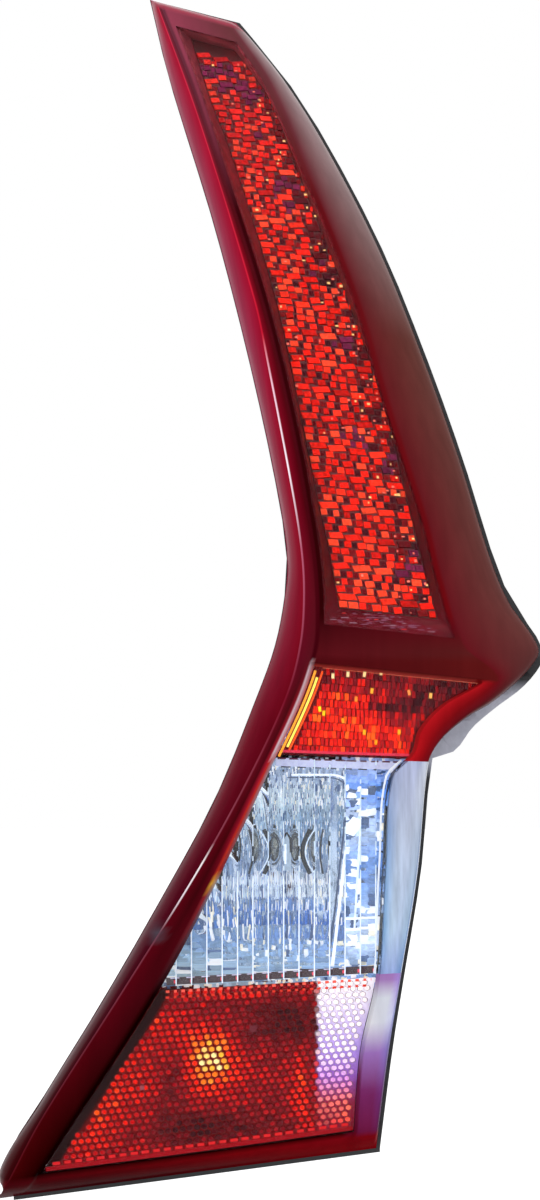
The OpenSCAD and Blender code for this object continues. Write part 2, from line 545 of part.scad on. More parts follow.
hook_nose = 1.5;
module hooks() for (g = legs) for (s = [-1, 1]) let (d = g[1] - g[0], c = (g[0] + g[1]) / 2,
        off = s * (carrier_r + clear))
    translate([c[0], back_y - 1, c[1]]) rotate([0, -atan2(d[1], d[0]), 0]) {
        translate([-hook_w / 2, 0, s > 0 ? off : off - hook_t])
            cube([hook_w, plate_back - back_y + 3, hook_t]);
        translate([-hook_w / 2, plate_back - back_y + 1 + clear, s > 0 ? off - hook_nose : off - hook_t])
            cube([hook_w, 2 - clear, hook_t + hook_nose]);
    }

// The lamp board of the arm is a flat plate leaning back with the arm
function panel_spot(r, left, dx = 0) = spot(left ? panel_left : panel_right, r, left ? dx : -dx);
function panel_y(z) = face_y(z) + panel_recess;
board_low = [panel_y(panel_foot[0]) + panel_t + 9, panel_foot[0]];
board_top = [panel_y(panel_top[0]) + panel_t + 12, panel_top[0]];
board_grade = (board_top[0] - board_low[0]) / (board_top[1] - board_low[1]);
lean = atan(board_grade);
function board_y(z) = board_low[0] + board_grade * (z - board_low[1]);
module on_board(p) translate([p[0], board_y(p[1]), p[1]]) rotate([-lean, 0, 0]) children();
function on_panel(t, s) = in_window(panel_foot, panel_top, t, s, panel_left, panel_right);
board_margin = 3.5;
screw_at = [0.1, 0.5, 0.88];
board_screw_d = 3;
board_screw_l = 9;
post_d = 8;
board_deep = board_t / cos(lean);
module board_slab(dy, t) along_x(-far, far) polygon([for (e = [[0, 0], [0, 1], [1, 1], [1, 0]])
    let (z = e[1] * 800 * kz) [board_y(z) + dy + e[0] * t, z]]);
module led_board() color("darkgreen") at_mount() difference() {
    intersection() {
        board_slab(0, board_deep);
        along_y(-far, far) polygon(window_points(panel_foot, panel_top, -board_margin, -board_margin,
            panel_left, panel_right, 10));
    }
    for (t = screw_at) on_board(on_panel(t, 0.5)) pin_y(0, -5, 5, 0, board_screw_d + 0.3);
}
led_h = 1.4;
module leds() color("white") at_mount() for (k = [0 : led_rows - 1]) for (s = [0.25, 0.75])
    on_board(on_panel((k + 0.5) / led_rows, s)) translate([-led_w / 2, -led_h, -led_w / 2])
        cube([led_w, led_h, led_w]);
part_at = [0.2, 0.26, 0.32, 0.62, 0.7, 0.78];
module board_parts() color("black") at_mount() for (t = part_at) on_board(on_panel(t, 0.5))
    translate([-1.6, -1, -1]) cube([3.2, 1, 2]);
module board_screws() color("silver") at_mount() for (t = screw_at) on_board(on_panel(t, 0.5)) {
    pin_y(0, -1.8, 0, 0, 1.9 * board_screw_d);
    pin_y(0, 0, board_t + board_screw_l - 1, 0, board_screw_d);
}
module board_posts() for (t = screw_at) let (p = on_panel(t, 0.5)) on_board(p)
    pin_y(0, board_t, (arm_back(p[1]) - shell_wall / 2 - board_y(p[1])) * cos(lean), 0, post_d);
module board_bores() for (t = screw_at) on_board(on_panel(t, 0.5))
    pin_y(0, board_t - 1, board_t + board_screw_l, 0, board_screw_d + 0.1);

// Bezel: a tube of four-sided section that narrows from the lens face to the panel, then runs straight back
function tube_loop(a, b, side, left, right, n = 38) = window_points(a, b, side, side, left, right, n);
bezel_front = [row(342, -0.107), row(705, -0.278)];
bezel_clear = 1.2;
function front_loop(grow) = [for (p = tube_loop(bezel_front[0], bezel_front[1], step_w + 1.5 - grow, strip_in,
    front_right)) [p[0], face_at(p) + lens_wall + bezel_clear, p[1]]];
function panel_loop(grow, at_board = false) = [for (p = tube_loop(panel_foot, panel_top, -grow, panel_left,
    panel_right)) [p[0], at_board ? board_y(p[1]) - clear : panel_y(p[1]) - 1, p[1]]];
function band(a, b) = let (n = len(a)) [for (k = [0 : n - 1]) let (j = (k + 1) % n)
    each [[a[k], a[j], b[j]], [a[k], b[j], b[k]]]];
inner_grow = clear;
outer_grow = clear + bezel_wall;
bezel_loops = [front_loop(0), front_loop(-bezel_wall), panel_loop(inner_grow), panel_loop(inner_grow, true),
    panel_loop(outer_grow, true), panel_loop(outer_grow)];
module arm_bezel() color("maroon") at_mount() solid_of([for (k = [0 : 5])
    each band(bezel_loops[k], bezel_loops[(k + 1) % 6])]);

// Reflex panel: rows of bricks laid in bond, each a low crown with its top set off centre
function chance(a, b) = let (s = sin(a * 127.1 + b * 311.7) * 437.58) s - floor(s);
half_cols = 2 * brick_cols;
function panel_point(u, v) = let (r = mix(panel_foot, panel_top, v / brick_rows),
        p = mix(panel_spot(r, true), panel_spot(r, false), u / half_cols)) [p[0], panel_y(p[1]), p[1]];
function brick(u0, u1, v) = let (a = 0.3 + 0.4 * chance(u0, v), b = 0.3 + 0.4 * chance(v, u0 + 7),
        m = panel_point(mix(u0, u1, a), v + b) - [0, brick_rise * (0.4 + 0.6 * chance(u0 + 3, v + 5)), 0])
    fan(m, concat([for (u = [u0 : u1]) panel_point(u, v + 1)], [for (u = [u1 : -1 : u0]) panel_point(u, v)]));
function brick_row(v) = let (odd = v % 2)
    [for (u = [odd : 2 : half_cols - 1 - odd]) each brick(u, u + 2, v)];
function half_bricks(v) = v % 2 == 0 ? [] : concat(brick(0, 1, v), brick(half_cols - 1, half_cols, v));
function behind(p) = p + [0, panel_t, 0];
function panel_back(v) = let (a = panel_point(0, v), b = panel_point(half_cols, v),
        c = panel_point(half_cols, v + 1), d = panel_point(0, v + 1))
    [[behind(a), behind(b), behind(c)], [behind(a), behind(c), behind(d)],
        [d, a, behind(a)], [d, behind(a), behind(d)], [b, c, behind(c)], [b, behind(c), behind(b)]];
function panel_end(v, way) = let (p = [for (u = [0 : half_cols]) panel_point(u, v)], q = way ? p : backwards(p),
        z = behind(q[half_cols])) concat([[q[0], z, behind(q[0])]],
    [for (k = [0 : half_cols - 1]) [q[k], q[k + 1], z]]);
module reflex_panel() color("orangered") at_mount() solid_of(concat(
    [for (v = [0 : brick_rows - 1]) each concat(brick_row(v), half_bricks(v), panel_back(v))],
    panel_end(0, true), panel_end(brick_rows, false)));

// The arm's own socket stands on a flat pad on the sloping back
arm_socket_c = in_window(panel_foot, panel_top, 0.16, 0.5, panel_left, panel_right);
plug = [16, 10];
plug_wall = 1.8;
plug_rim = 3;
plug_flange = 2;
plug_root = 8;
plug_out = 13;
plug_y = arm_back(arm_socket_c[1] + plug[1] / 2 + plug_wall + plug_rim + 1) + 0.5;
lead_gap = 3;
lead_d = 1.2;
module plug_box(grow, y0, y1) let (w = plug + 2 * [grow, grow])
    translate([arm_socket_c[0] - w[0] / 2, y0, arm_socket_c[1] - w[1] / 2]) cube([w[0], y1 - y0, w[1]]);
module lead_y(s, y0, y1, d) pin_y(arm_socket_c[0] + s * lead_gap, y0, y1, arm_socket_c[1], d);
module arm_socket() color("black") at_mount() difference() {
    union() {
        plug_box(plug_wall, plug_y - plug_root, plug_y + plug_out);
        plug_box(plug_wall + plug_rim, plug_y, plug_y + plug_flange);
    }
    plug_box(0, plug_y + 1, plug_y + plug_out + 1);
    for (s = [-1, 1]) lead_y(s, plug_y - plug_root - 1, plug_y + 2, lead_d + 0.1);
}
module arm_pins() color("gold") at_mount() for (s = [-1, 1])
    lead_y(s, plug_y - plug_root, plug_y + plug_out - 4, lead_d);
module board_leads() color("darkred") at_mount() for (s = [-1, 1])
    lead_y(s, board_y(arm_socket_c[1]) + board_deep + 0.2, plug_y - plug_root, lead_d);

// Breathers: a nipple of the housing under each loose cap
vents = [in_window(low_row, mid_row, 0.42, 0.93), in_window(foot_row, low_row, 0.2, 0.16)];
nipple_d = 8;
nipple_h = 6;
cap_wall = 1.8;
module breather_caps() color("black") at_mount() for (c = vents) difference() {
    pin_y(c[0], back_y + clear, back_y + nipple_h + clear + cap_wall, c[1], nipple_d + 2 * (clear + cap_wall));
    pin_y(c[0], back_y - 1, back_y + nipple_h + clear, c[1], nipple_d + 2 * clear);
}

foam_in = 1;
module perimeter_seal() color("black") at_mount() intersection() {
    rim_band(seam + flange_t, foam_t);
    difference() {
        along_y(-far, far) lamp_outline(-foam_in);
        along_y(-far - 1, far + 1) lamp_outline(foam_in - ledge_w);
    }
}

// Housing: flange, tub, bosses and posts in one moulding
rib_t = 2;
rib_h = 4;
ribs = 6;
body_ribs = 5;
module rib(z) translate([-far, 0, z]) cube([2 * far, far, rib_t]);
module back_ribs() intersection() {
    tub_side(rib_h);
    along_y(0, far) lamp_outline(-ledge_w - 1);
    union() for (k = [0 : ribs - 1]) let (z = mix(450 * kz, 720 * kz, k / ribs))
        if (abs(z - upper_z) > pad_d / 2 + rib_t) rib(z);
}
// The ribs across the flat back stop short of the carrier, the seals round the studs and the caps
module flat_ribs() difference() {
    intersection() {
        along_y(back_y - 1, back_y + rib_h) lamp_outline(-ledge_w - 1);
        union() for (k = [0 : body_ribs - 1]) rib(mix(foot_row[0], crease_row[0], (k + 0.5) / body_ribs));
    }
    capsule(carrier_r + 2 * hook_t, 0, far);
    for (p = studs) pin_y(p[0], 0, far, p[2], pad_d + rib_t);
    for (c = vents) pin_y(c[0], 0, far, c[1], nipple_d + 2 * (clear + cap_wall + rib_t));
}
module housing() color([0.16, 0.16, 0.17]) at_mount() difference() {
    union() {
        difference() {
            union() {
                intersection() {
                    rim_band(seam, flange_t);
                    along_y(-far, far) housing_outline();
                }
                intersection() {
                    tub_side();
                    along_y(-far, far) lamp_outline(-ledge_w);
                }
                back_ribs();
                flat_ribs();
            }
            tub_hollow();
            capsule(opening_r, back_y - past, back_y + past);
        }
        reflector_posts();
        board_posts();
        for (p = studs) pin_y(p[0], p[1] - boss_h - shell_wall - stud_root, p[1], p[2], boss_d);
        pin_y(upper_x, pad_y - pad_deep, pad_y, upper_z, pad_d);
        plug_box(plug_wall + plug_rim + 1, plug_y - plug_root, plug_y);
        for (c = vents) pin_y(c[0], back_y - 1, back_y + nipple_h, c[1], nipple_d);
        hooks();
    }
    for (p = studs) stud_bore(p);
    reflector_bores();
    board_bores();
    plug_box(plug_wall + 0.2, plug_y - plug_root - 1, plug_y + 1);
    for (c = vents) pin_y(c[0], back_y - past, back_y + nipple_h + 1, c[1], nipple_d - 3);
}

housing();
lens_red();
lens_clear();
arm_bezel();
reflex_panel();
led_board();
leds();
board_parts();
board_screws();
board_leads();
arm_socket();
arm_pins();
mid_reflector();
reverse_reflector();
lower_reflector();
reflector_screws();
mid_bulb_glass();
mid_bulb_base();
mid_bulb_filament();
reverse_bulb_glass();
reverse_bulb_base();
reverse_bulb_filament();
lower_bulb_glass();
lower_bulb_base();
lower_bulb_filament();
bulb_contacts();
bulb_carrier();
carrier_seal();
conductor_tracks();
connector_pins();
main_stud();
upper_stud();
lower_stud();
stud_seals();
perimeter_seal();
breather_caps();
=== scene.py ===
# Right-hand pillar tail lamp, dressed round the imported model.
# Sizes are millimetres in the lamp's own coordinates, as the CAD source has them: X to the right as seen
# from behind the car, Y into the car, Z up from the lower left corner. toFrame() turns a point to metres
# in the frame, whose origin is the seat of the main stud.
import math
import random

import bmesh
import bpy
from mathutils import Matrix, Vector


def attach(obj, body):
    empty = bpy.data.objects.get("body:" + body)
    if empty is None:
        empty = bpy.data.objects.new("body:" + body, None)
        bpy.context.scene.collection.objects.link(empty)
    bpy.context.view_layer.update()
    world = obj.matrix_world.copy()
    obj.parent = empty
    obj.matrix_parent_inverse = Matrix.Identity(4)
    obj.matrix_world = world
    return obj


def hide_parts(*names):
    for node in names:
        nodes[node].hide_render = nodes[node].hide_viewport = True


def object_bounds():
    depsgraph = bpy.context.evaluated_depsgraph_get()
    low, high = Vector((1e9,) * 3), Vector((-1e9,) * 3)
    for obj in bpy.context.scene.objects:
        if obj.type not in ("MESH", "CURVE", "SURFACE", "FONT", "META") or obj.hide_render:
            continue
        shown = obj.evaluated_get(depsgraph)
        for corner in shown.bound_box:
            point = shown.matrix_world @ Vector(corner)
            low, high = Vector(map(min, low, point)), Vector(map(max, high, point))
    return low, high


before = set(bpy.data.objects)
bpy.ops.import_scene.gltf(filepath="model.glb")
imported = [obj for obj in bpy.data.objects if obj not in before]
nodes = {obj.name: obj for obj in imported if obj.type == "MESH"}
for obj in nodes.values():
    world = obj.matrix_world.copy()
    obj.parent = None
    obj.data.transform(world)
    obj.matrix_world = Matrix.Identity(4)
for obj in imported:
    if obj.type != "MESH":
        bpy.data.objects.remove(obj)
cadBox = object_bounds()
print("frame loaded,", len(nodes), "nodes")

# Lines of the lamp as [height, place to the right], and its depths as [height, place behind the front]
outline = {
    "outerLeft": [[-6, 3], [6, -5], [52, 22], [114, 60], [175, 95], [236, 128], [298, 153.5], [330, 165],
                  [360, 171], [385, 172.5], [424, 167], [504, 150], [594, 127], [690, 98], [740, 86]],
    "ridge": [[8, 4], [44, 23], [120, 71], [199, 120], [262, 154], [305, 173], [333, 180], [359, 182],
              [385, 181], [420, 176], [505, 160], [543, 152], [656, 118], [735, 90]],
    "stripIn": [[10, 20], [27, 31], [115, 88], [182, 124], [264, 163], [299, 179], [326, 188], [342, 190],
                [374, 189], [406, 185], [467, 174], [543, 156], [636, 127], [685, 111], [735, 92]],
    "windowRight": [[30, 213], [84, 217], [128, 226], [200, 230], [252, 234], [266, 247], [281, 252],
                    [296, 266], [308, 287], [318, 296]],
    "frontRight": [[24, 225], [88, 233], [132, 240.5], [195, 250], [256, 256], [266, 259], [277, 266],
                   [290, 280], [301, 294], [311, 301], [318, 296], [330, 281], [368, 268], [407, 258.5],
                   [476, 237], [546, 217], [636, 182], [682, 162], [714, 141]],
    "outerRight": [[20, 227], [84, 235], [129, 242], [192, 252], [262, 259], [275, 267], [288, 283],
                   [296, 297], [310, 314], [320, 323], [327, 326.5], [336, 323], [358, 308], [385, 297],
                   [445, 279], [509, 257], [578, 230], [644, 197], [688, 170], [722, 143]],
    "panelLeft": [[348, 205], [389, 198], [421, 191], [471, 181], [543, 166], [637, 138], [670, 125.5],
                  [711, 113]],
    "panelRight": [[344, 264], [379, 255], [421, 245], [477, 232], [543, 210], [637, 175], [671, 162],
                   [705, 139]],
    "rimDepth": [[-20, 69], [0, 66], [130, 56], [262, 50], [330, 52], [400, 66], [500, 90], [600, 118],
                 [717, 150], [745, 158]],
    "faceDepth": [[-20, 32], [0, 30], [130, 16], [262, 9], [330, 6], [400, 18], [500, 42], [600, 72],
                  [717, 112], [745, 122]],
    "flankDepth": [[0, 0], [0.2, 0.42], [0.6, 0.82], [0.88, 0.96], [1, 1]],
}
middleX = 170
mainStud = {"height": 300, "seat": 132, "fromEdge": 21.5}

# Rows cross the lamp: height at middleX, and rise to the right
rows = {"rim": (14.1, 0.135), "foot": (28.4, 0.126), "low": (128.8, 0.055), "mid": (264.2, -0.034),
        "crease": (323.2, -0.1), "top": (707.7, -0.28), "tip": (717, -0.28),
        "panelFoot": (358, -0.115), "panelTop": (696, -0.27),
        "bezelFoot": (346.8, -0.107), "bezelTop": (699.6, -0.278)}

lens = {"wall": 2.6, "recess": 6, "step": 2.5, "bow": 1200, "fluteWidth": 9.3, "fluteRise": 1.2}


def mix(a, b, t):
    if isinstance(a, (int, float)):
        return a + (b - a) * t
    return tuple(p + (q - p) * t for p, q in zip(a, b))


def within(share):
    return min(max(share, 0), 1)


def grade(points, i):
    low, high = max(i - 1, 0), min(i + 1, len(points) - 1)
    return (points[high][1] - points[low][1]) / (points[high][0] - points[low][0])


# A smooth curve through a line's points, straight past its ends
def along(name, z):
    points = outline[name]
    last = len(points) - 1
    if z <= points[0][0] or z >= points[last][0]:
        end = 0 if z <= points[0][0] else last
        return points[end][1] + grade(points, end) * (z - points[end][0])
    i = max(k for k in range(last) if points[k][0] <= z)
    h = points[i + 1][0] - points[i][0]
    s = (z - points[i][0]) / h
    r = 1 - s
    return (points[i][1] * (1 + 2 * s) * r * r + points[i + 1][1] * (3 - 2 * s) * s * s
            + h * grade(points, i) * s * r * r - h * grade(points, i + 1) * s * s * r)


def spot(name, row, aside=0):
    z = row[0]
    for _ in range(9):
        z = row[0] + row[1] * (along(name, z) + aside - middleX)
    return along(name, z) + aside, z


# The lens front bows back to the right of the ridge
def faceAt(x, z):
    return along("faceDepth", z) + max(0, x - along("ridge", z)) ** 2 / (2 * lens["bow"])


def rimAt(z):
    return along("rimDepth", z)


# A row of the lamp moved up or down
def edge(name, up):
    return rows[name][0] + up, rows[name][1]


lampOrigin = Vector((along("outerRight", mainStud["height"]) - mainStud["fromEdge"], mainStud["seat"],
                     mainStud["height"]))


def toFrame(p):
    return (Vector(p) - lampOrigin) / 1000


def linear(hexText):
    values = [int(hexText[i:i + 2], 16) / 255 for i in (1, 3, 5)]
    return tuple(v / 12.92 if v <= 0.04045 else ((v + 0.055) / 1.055) ** 2.4 for v in values) + (1,)


# Tones of the shell by zone, with light and shade painted into them: a painted highlight along the ridge, a
# painted sheen on the flank, painted glints in the groove, and painted violet, white and blue sky reflections
# on the rise, border and roll zones and on the clear border and roll. Each line gives a height and the tones
# across the zone there, left to right
paint = {
    "flank": [[20, "#500810", "#380408"], [160, "#601028", "#480818"], [280, "#801028", "#680818"],
              [400, "#a02848", "#a01028"], [520, "#a83058", "#b01030"], [700, "#b04060", "#c01838"]],
    "ridge": [[20, "#581018"], [160, "#803848"], [180, "#f0e0e8"], [200, "#f8f0f0"], [212, "#884050"],
              [300, "#781428"], [390, "#b05870"], [440, "#f8e8f0"], [490, "#f0c0d0"], [520, "#c01830"],
              [740, "#c03048"]],
    "strip": [[20, "#500408", "#280000"], [120, "#680818", "#440810"], [190, "#680818", "#480810", "#700c1c"],
              [215, "#680818", "#500810", "#b01830"], [262, "#701020", "#580c18", "#e02840"],
              [300, "#701020", "#581018", "#b02030"], [324, "#701024", "#681824"],
              [420, "#880c24", "#580410"], [580, "#981024", "#600c18"], [700, "#883040", "#702838"]],
    "groove": [[120, "#180000"], [150, "#602830"], [180, "#a83038", "#9090a0"], [188, "#f0b040", "#c0a8a0"],
               [196, "#d03828", "#a03038"], [262, "#d83428", "#c8b0b8"], [266, "#f4dce4", "#e06060"],
               [318, "#f0d0d8", "#d04840"], [324, "#480410"], [600, "#601018", "#581020"], [720, "#783848"]],
    "ledge": [[322, "#641018", "#7c2020"], [326, "#741822", "#742828"], [342, "#581018", "#7c1420"],
              [350, "#3c0408", "#8c1018"], [600, "#480810", "#801820"], [700, "#b85068", "#804448"]],
    "rise": [[30, "#780c28"], [70, "#883064"], [88, "#b898e0"], [102, "#f8f8ff"], [118, "#f0f4ff"],
             [129, "#b888d0"], [262, "#c82428", "#a01820"]],
    "border": [[24, "#781030"], [60, "#883070"], [84, "#b080d0"], [102, "#f8f8ff", "#e8ecff"],
               [118, "#f0f4ff"], [129, "#b888d0"], [262, "#d01820", "#a81018", "#600c14"],
               [312, "#c01820", "#901018", "#581014"], [320, "#682020"]],
    "roll": [[24, "#701030", "#300818"], [60, "#803880", "#483060"], [86, "#9880d0", "#585080"],
             [106, "#e0e4ff", "#98a0e0", "#7080b0"], [129, "#b090e0", "#606890"],
             [262, "#701018", "#482028"], [340, "#681820", "#683c38"], [520, "#641c20", "#684038"],
             [716, "#703840", "#c0b0b0"]],
    "clearBorder": [[129, "#a0b8f0"], [160, "#98c8f8", "#e0f0ff", "#88b0f0"],
                    [220, "#90b0e0", "#e0e8f8", "#b4c8f0"], [262, "#c0c8e8"]],
    "clearRoll": [[129, "#88b4f8", "#7080a8"], [160, "#c0e0ff", "#78a8f0", "#88b0f0", "#647080"],
                  [220, "#d0e0f8", "#88a0d0", "#98b0d8", "#8898a8"],
                  [245, "#e8f0ff", "#687890"], [262, "#e8f0ff", "#606880"]],
    "lip": [[4, "#500810"], [22, "#800810"], [100, "#601028"], [717, "#903848"]],
}


def stopsAt(stops, place, value):
    if place <= stops[0][0]:
        return value(stops[0])
    for low, high in zip(stops, stops[1:]):
        if place <= high[0]:
            return mix(value(low), value(high), (place - low[0]) / (high[0] - low[0]))
    return value(stops[-1])


def across(tones, share):
    if len(tones) == 1:
        return linear(tones[0])
    steps = len(tones) - 1
    i = min(int(share * steps), steps - 1)
    return mix(linear(tones[i]), linear(tones[i + 1]), share * steps - i)


# How much of its tone each zone keeps, as some face the lights less than others
zoneLight = {"flank": 0.8, "ridge": 1.05, "strip": 0.72, "groove": 0.8, "rise": 0.7, "ledge": 0.56,
             "roll": 0.92, "border": 0.8, "clearBorder": 0.84, "clearRoll": 0.68, "lip": 1.2}


def shade(tone, level):
    return tuple(min(v * level, 1) for v in tone[:3]) + (1,)


def paintAt(zone, share, z):
    tone = stopsAt(paint[zone], z, lambda line: across(line[1:], share))
    return shade(tone, zoneLight[zone])


# A kind without "Node" in it is a shader node. A link comes from a socket, or from a node's first one
def addNode(tree, kind, values=None, links=None, stops=None, **settings):
    node = tree.nodes.new(kind if "Node" in kind else "ShaderNode" + kind)
    for name, value in settings.items():
        setattr(node, name, value)
    for name, value in (values or {}).items():
        node.inputs[name].default_value = linear(value) if str(value).startswith("#") else value
    for name, source in (links or {}).items():
        tree.links.new(getattr(source, "outputs", [source])[0], node.inputs[name])
    for i, (place, colour) in enumerate(stops or []):
        if i > 1:
            node.color_ramp.elements.new(place)
        node.color_ramp.elements[i].position = place
        node.color_ramp.elements[i].color = linear(colour)
    return node


# Depth of every bump in metres, and specular levels. These are held low, as the white studio would lie as a
# veil over deep red
bumpDepth = 0.0003
gloss = {"shell": 0.001, "border": 0.02, "optics": 0.04}


def newMaterial(name):
    material = bpy.data.materials.new(name)
    material.use_nodes = True
    material.node_tree.nodes.clear()
    return material, material.node_tree


def endMaterial(material, tree, shader):
    addNode(tree, "OutputMaterial", links={"Surface": shader})
    return material


# Relief is the strength of the bump and what its height comes from
def endSurface(material, tree, values, links, relief=None):
    if relief:
        strength, height = relief
        links["Normal"] = addNode(tree, "Bump", values={"Strength": strength, "Distance": bumpDepth},
                                  links={"Height": height})
    return endMaterial(material, tree, addNode(tree, "BsdfPrincipled", values=values, links=links))


def noiseOf(tree, size, detail=3, stretch=(1, 1, 1)):
    place = addNode(tree, "TexCoord").outputs["Object"]
    turned = addNode(tree, "Mapping", values={"Scale": stretch}, links={"Vector": place})
    values = {"Scale": 1000 / size, "Detail": detail}
    return addNode(tree, "TexNoise", values=values, links={"Vector": turned})


# Grain is the size of a mould's texture in millimetres, patch that of its uneven tone
def mould(name, colour, roughness, grain, height, second=None, patch=40, coat=0):
    material, tree = newMaterial(name)
    tone = addNode(tree, "ValToRGB", links={"Fac": noiseOf(tree, patch)},
                   stops=[(0.35, colour), (0.7, second or colour)])
    values = {"Roughness": roughness, "Coat Weight": coat, "Coat Roughness": 0.05}
    return endSurface(material, tree, values, {"Base Color": tone}, (height, noiseOf(tree, grain, 4)))


# Black ABS that turns pale grey on the shelf under the shoulder: box gives its ends along X, Y and Z
def paleShelfMould(name, colour, paleTone, box):
    material, tree = newMaterial(name)
    place = addNode(tree, "TexCoord").outputs["Object"]
    parts = addNode(tree, "SeparateXYZ", links={"Vector": place})
    share = None
    for axis, ends in box:
        part = addNode(tree, "MapRange", values={"From Min": ends[0], "From Max": ends[1]},
                       links={"Value": parts.outputs[axis]})
        share = part if share is None else addNode(tree, "Math", operation="MULTIPLY",
                                                   links={0: share, 1: part})
    cloud = addNode(tree, "ValToRGB", links={"Fac": noiseOf(tree, 5)},
                    stops=[(0.3, paleTone), (0.7, "#c0c4d0")])
    tone = addNode(tree, "MixRGB", values={"Color1": colour}, links={"Fac": share, "Color2": cloud})
    return endSurface(material, tree, {"Roughness": 0.5}, {"Base Color": tone}, (0.4, noiseOf(tree, 0.9, 4)))


# Streak stretches a metal's fine lines along an axis, and thread is the pitch of a thread in millimetres
def metal(name, colour, roughness, streak=(1, 1, 1), size=1.5, thread=0):
    material, tree = newMaterial(name)
    noise = noiseOf(tree, size, 3, streak)
    rough = addNode(tree, "MapRange", values={"To Min": roughness * 0.7, "To Max": roughness * 1.4},
                    links={"Value": noise})
    relief = (0.15, noise)
    if thread:
        place = addNode(tree, "TexCoord").outputs["Object"]
        wave = addNode(tree, "TexWave", bands_direction="Y",
                       values={"Scale": 314 / thread}, links={"Vector": place})
        relief = (0.7, wave.outputs["Fac"])
    return endSurface(material, tree, {"Base Color": colour, "Metallic": 1}, {"Roughness": rough}, relief)


# Clear acrylic or glass: shadow rays pass it, so that what lies behind stays lit
def clearPlastic(name, tint, ior):
    material, tree = newMaterial(name)
    glass = addNode(tree, "BsdfGlass", values={"Color": tint, "IOR": ior, "Roughness": 0})
    through = addNode(tree, "BsdfTransparent", values={"Color": tint})
    shadow = addNode(tree, "LightPath").outputs["Is Shadow Ray"]
    shader = addNode(tree, "MixShader", links={"Fac": shadow, 1: glass, 2: through})
    return endMaterial(material, tree, shader)


# Plastic that takes its tone from the mesh, with streaks of the given size, spread and stretch over it. The
# crown attribute of a facet is 1 on its top and 0 on its sides, which get a painted shade, darker by the
# share rim. The last argument is an emission of the facet's own tone, a painted glow that stands in for the
# light a facet throws back from the sky
def tonedPlastic(name, roughness, specular, size, spread, stretch=(1, 1, 1), rim=1, paintedGlow=0):
    material, tree = newMaterial(name)
    tone = addNode(tree, "Attribute", attribute_name="tone")
    level = addNode(tree, "MapRange",
                    values={"From Min": 0.3, "From Max": 0.7, "To Min": 1 - spread, "To Max": 1 + spread},
                    links={"Value": noiseOf(tree, size, 4, stretch)})
    # painted shade on the facet's sides
    if rim < 1:
        crown = addNode(tree, "Attribute", attribute_name="crown")
        sides = addNode(tree, "MapRange", values={"To Min": rim}, links={"Value": crown.outputs["Fac"]})
        level = addNode(tree, "Math", operation="MULTIPLY", links={0: level, 1: sides})
    colour = addNode(tree, "VectorMath", operation="SCALE", links={0: tone, "Scale": level})
    links = {"Base Color": colour}
    # painted glow: the facet emits its own tone
    if paintedGlow:
        links["Emission Color"] = colour
    values = {"Roughness": roughness, "Specular IOR Level": specular, "Emission Strength": paintedGlow}
    return endSurface(material, tree, values, links)


# Dark red ABS whose tone goes with its height in the frame, under faint level streaks
def risingMould(name, stops, low, high, roughness):
    material, tree = newMaterial(name)
    place = addNode(tree, "TexCoord").outputs["Object"]
    height = addNode(tree, "SeparateXYZ", links={"Vector": place}).outputs["Z"]
    share = addNode(tree, "MapRange", values={"From Min": low, "From Max": high}, links={"Value": height})
    tone = addNode(tree, "ValToRGB", links={"Fac": share}, stops=stops)
    streak = addNode(tree, "MapRange",
                     values={"From Min": 0.35, "From Max": 0.7, "To Min": 0.75, "To Max": 1.5},
                     links={"Value": noiseOf(tree, 5, 4, (0.3, 1, 1.6))})
    colour = addNode(tree, "VectorMath", operation="SCALE", links={0: tone, "Scale": streak})
    values = {"Roughness": roughness, "Specular IOR Level": gloss["optics"]}
    return endSurface(material, tree, values, {"Base Color": colour})


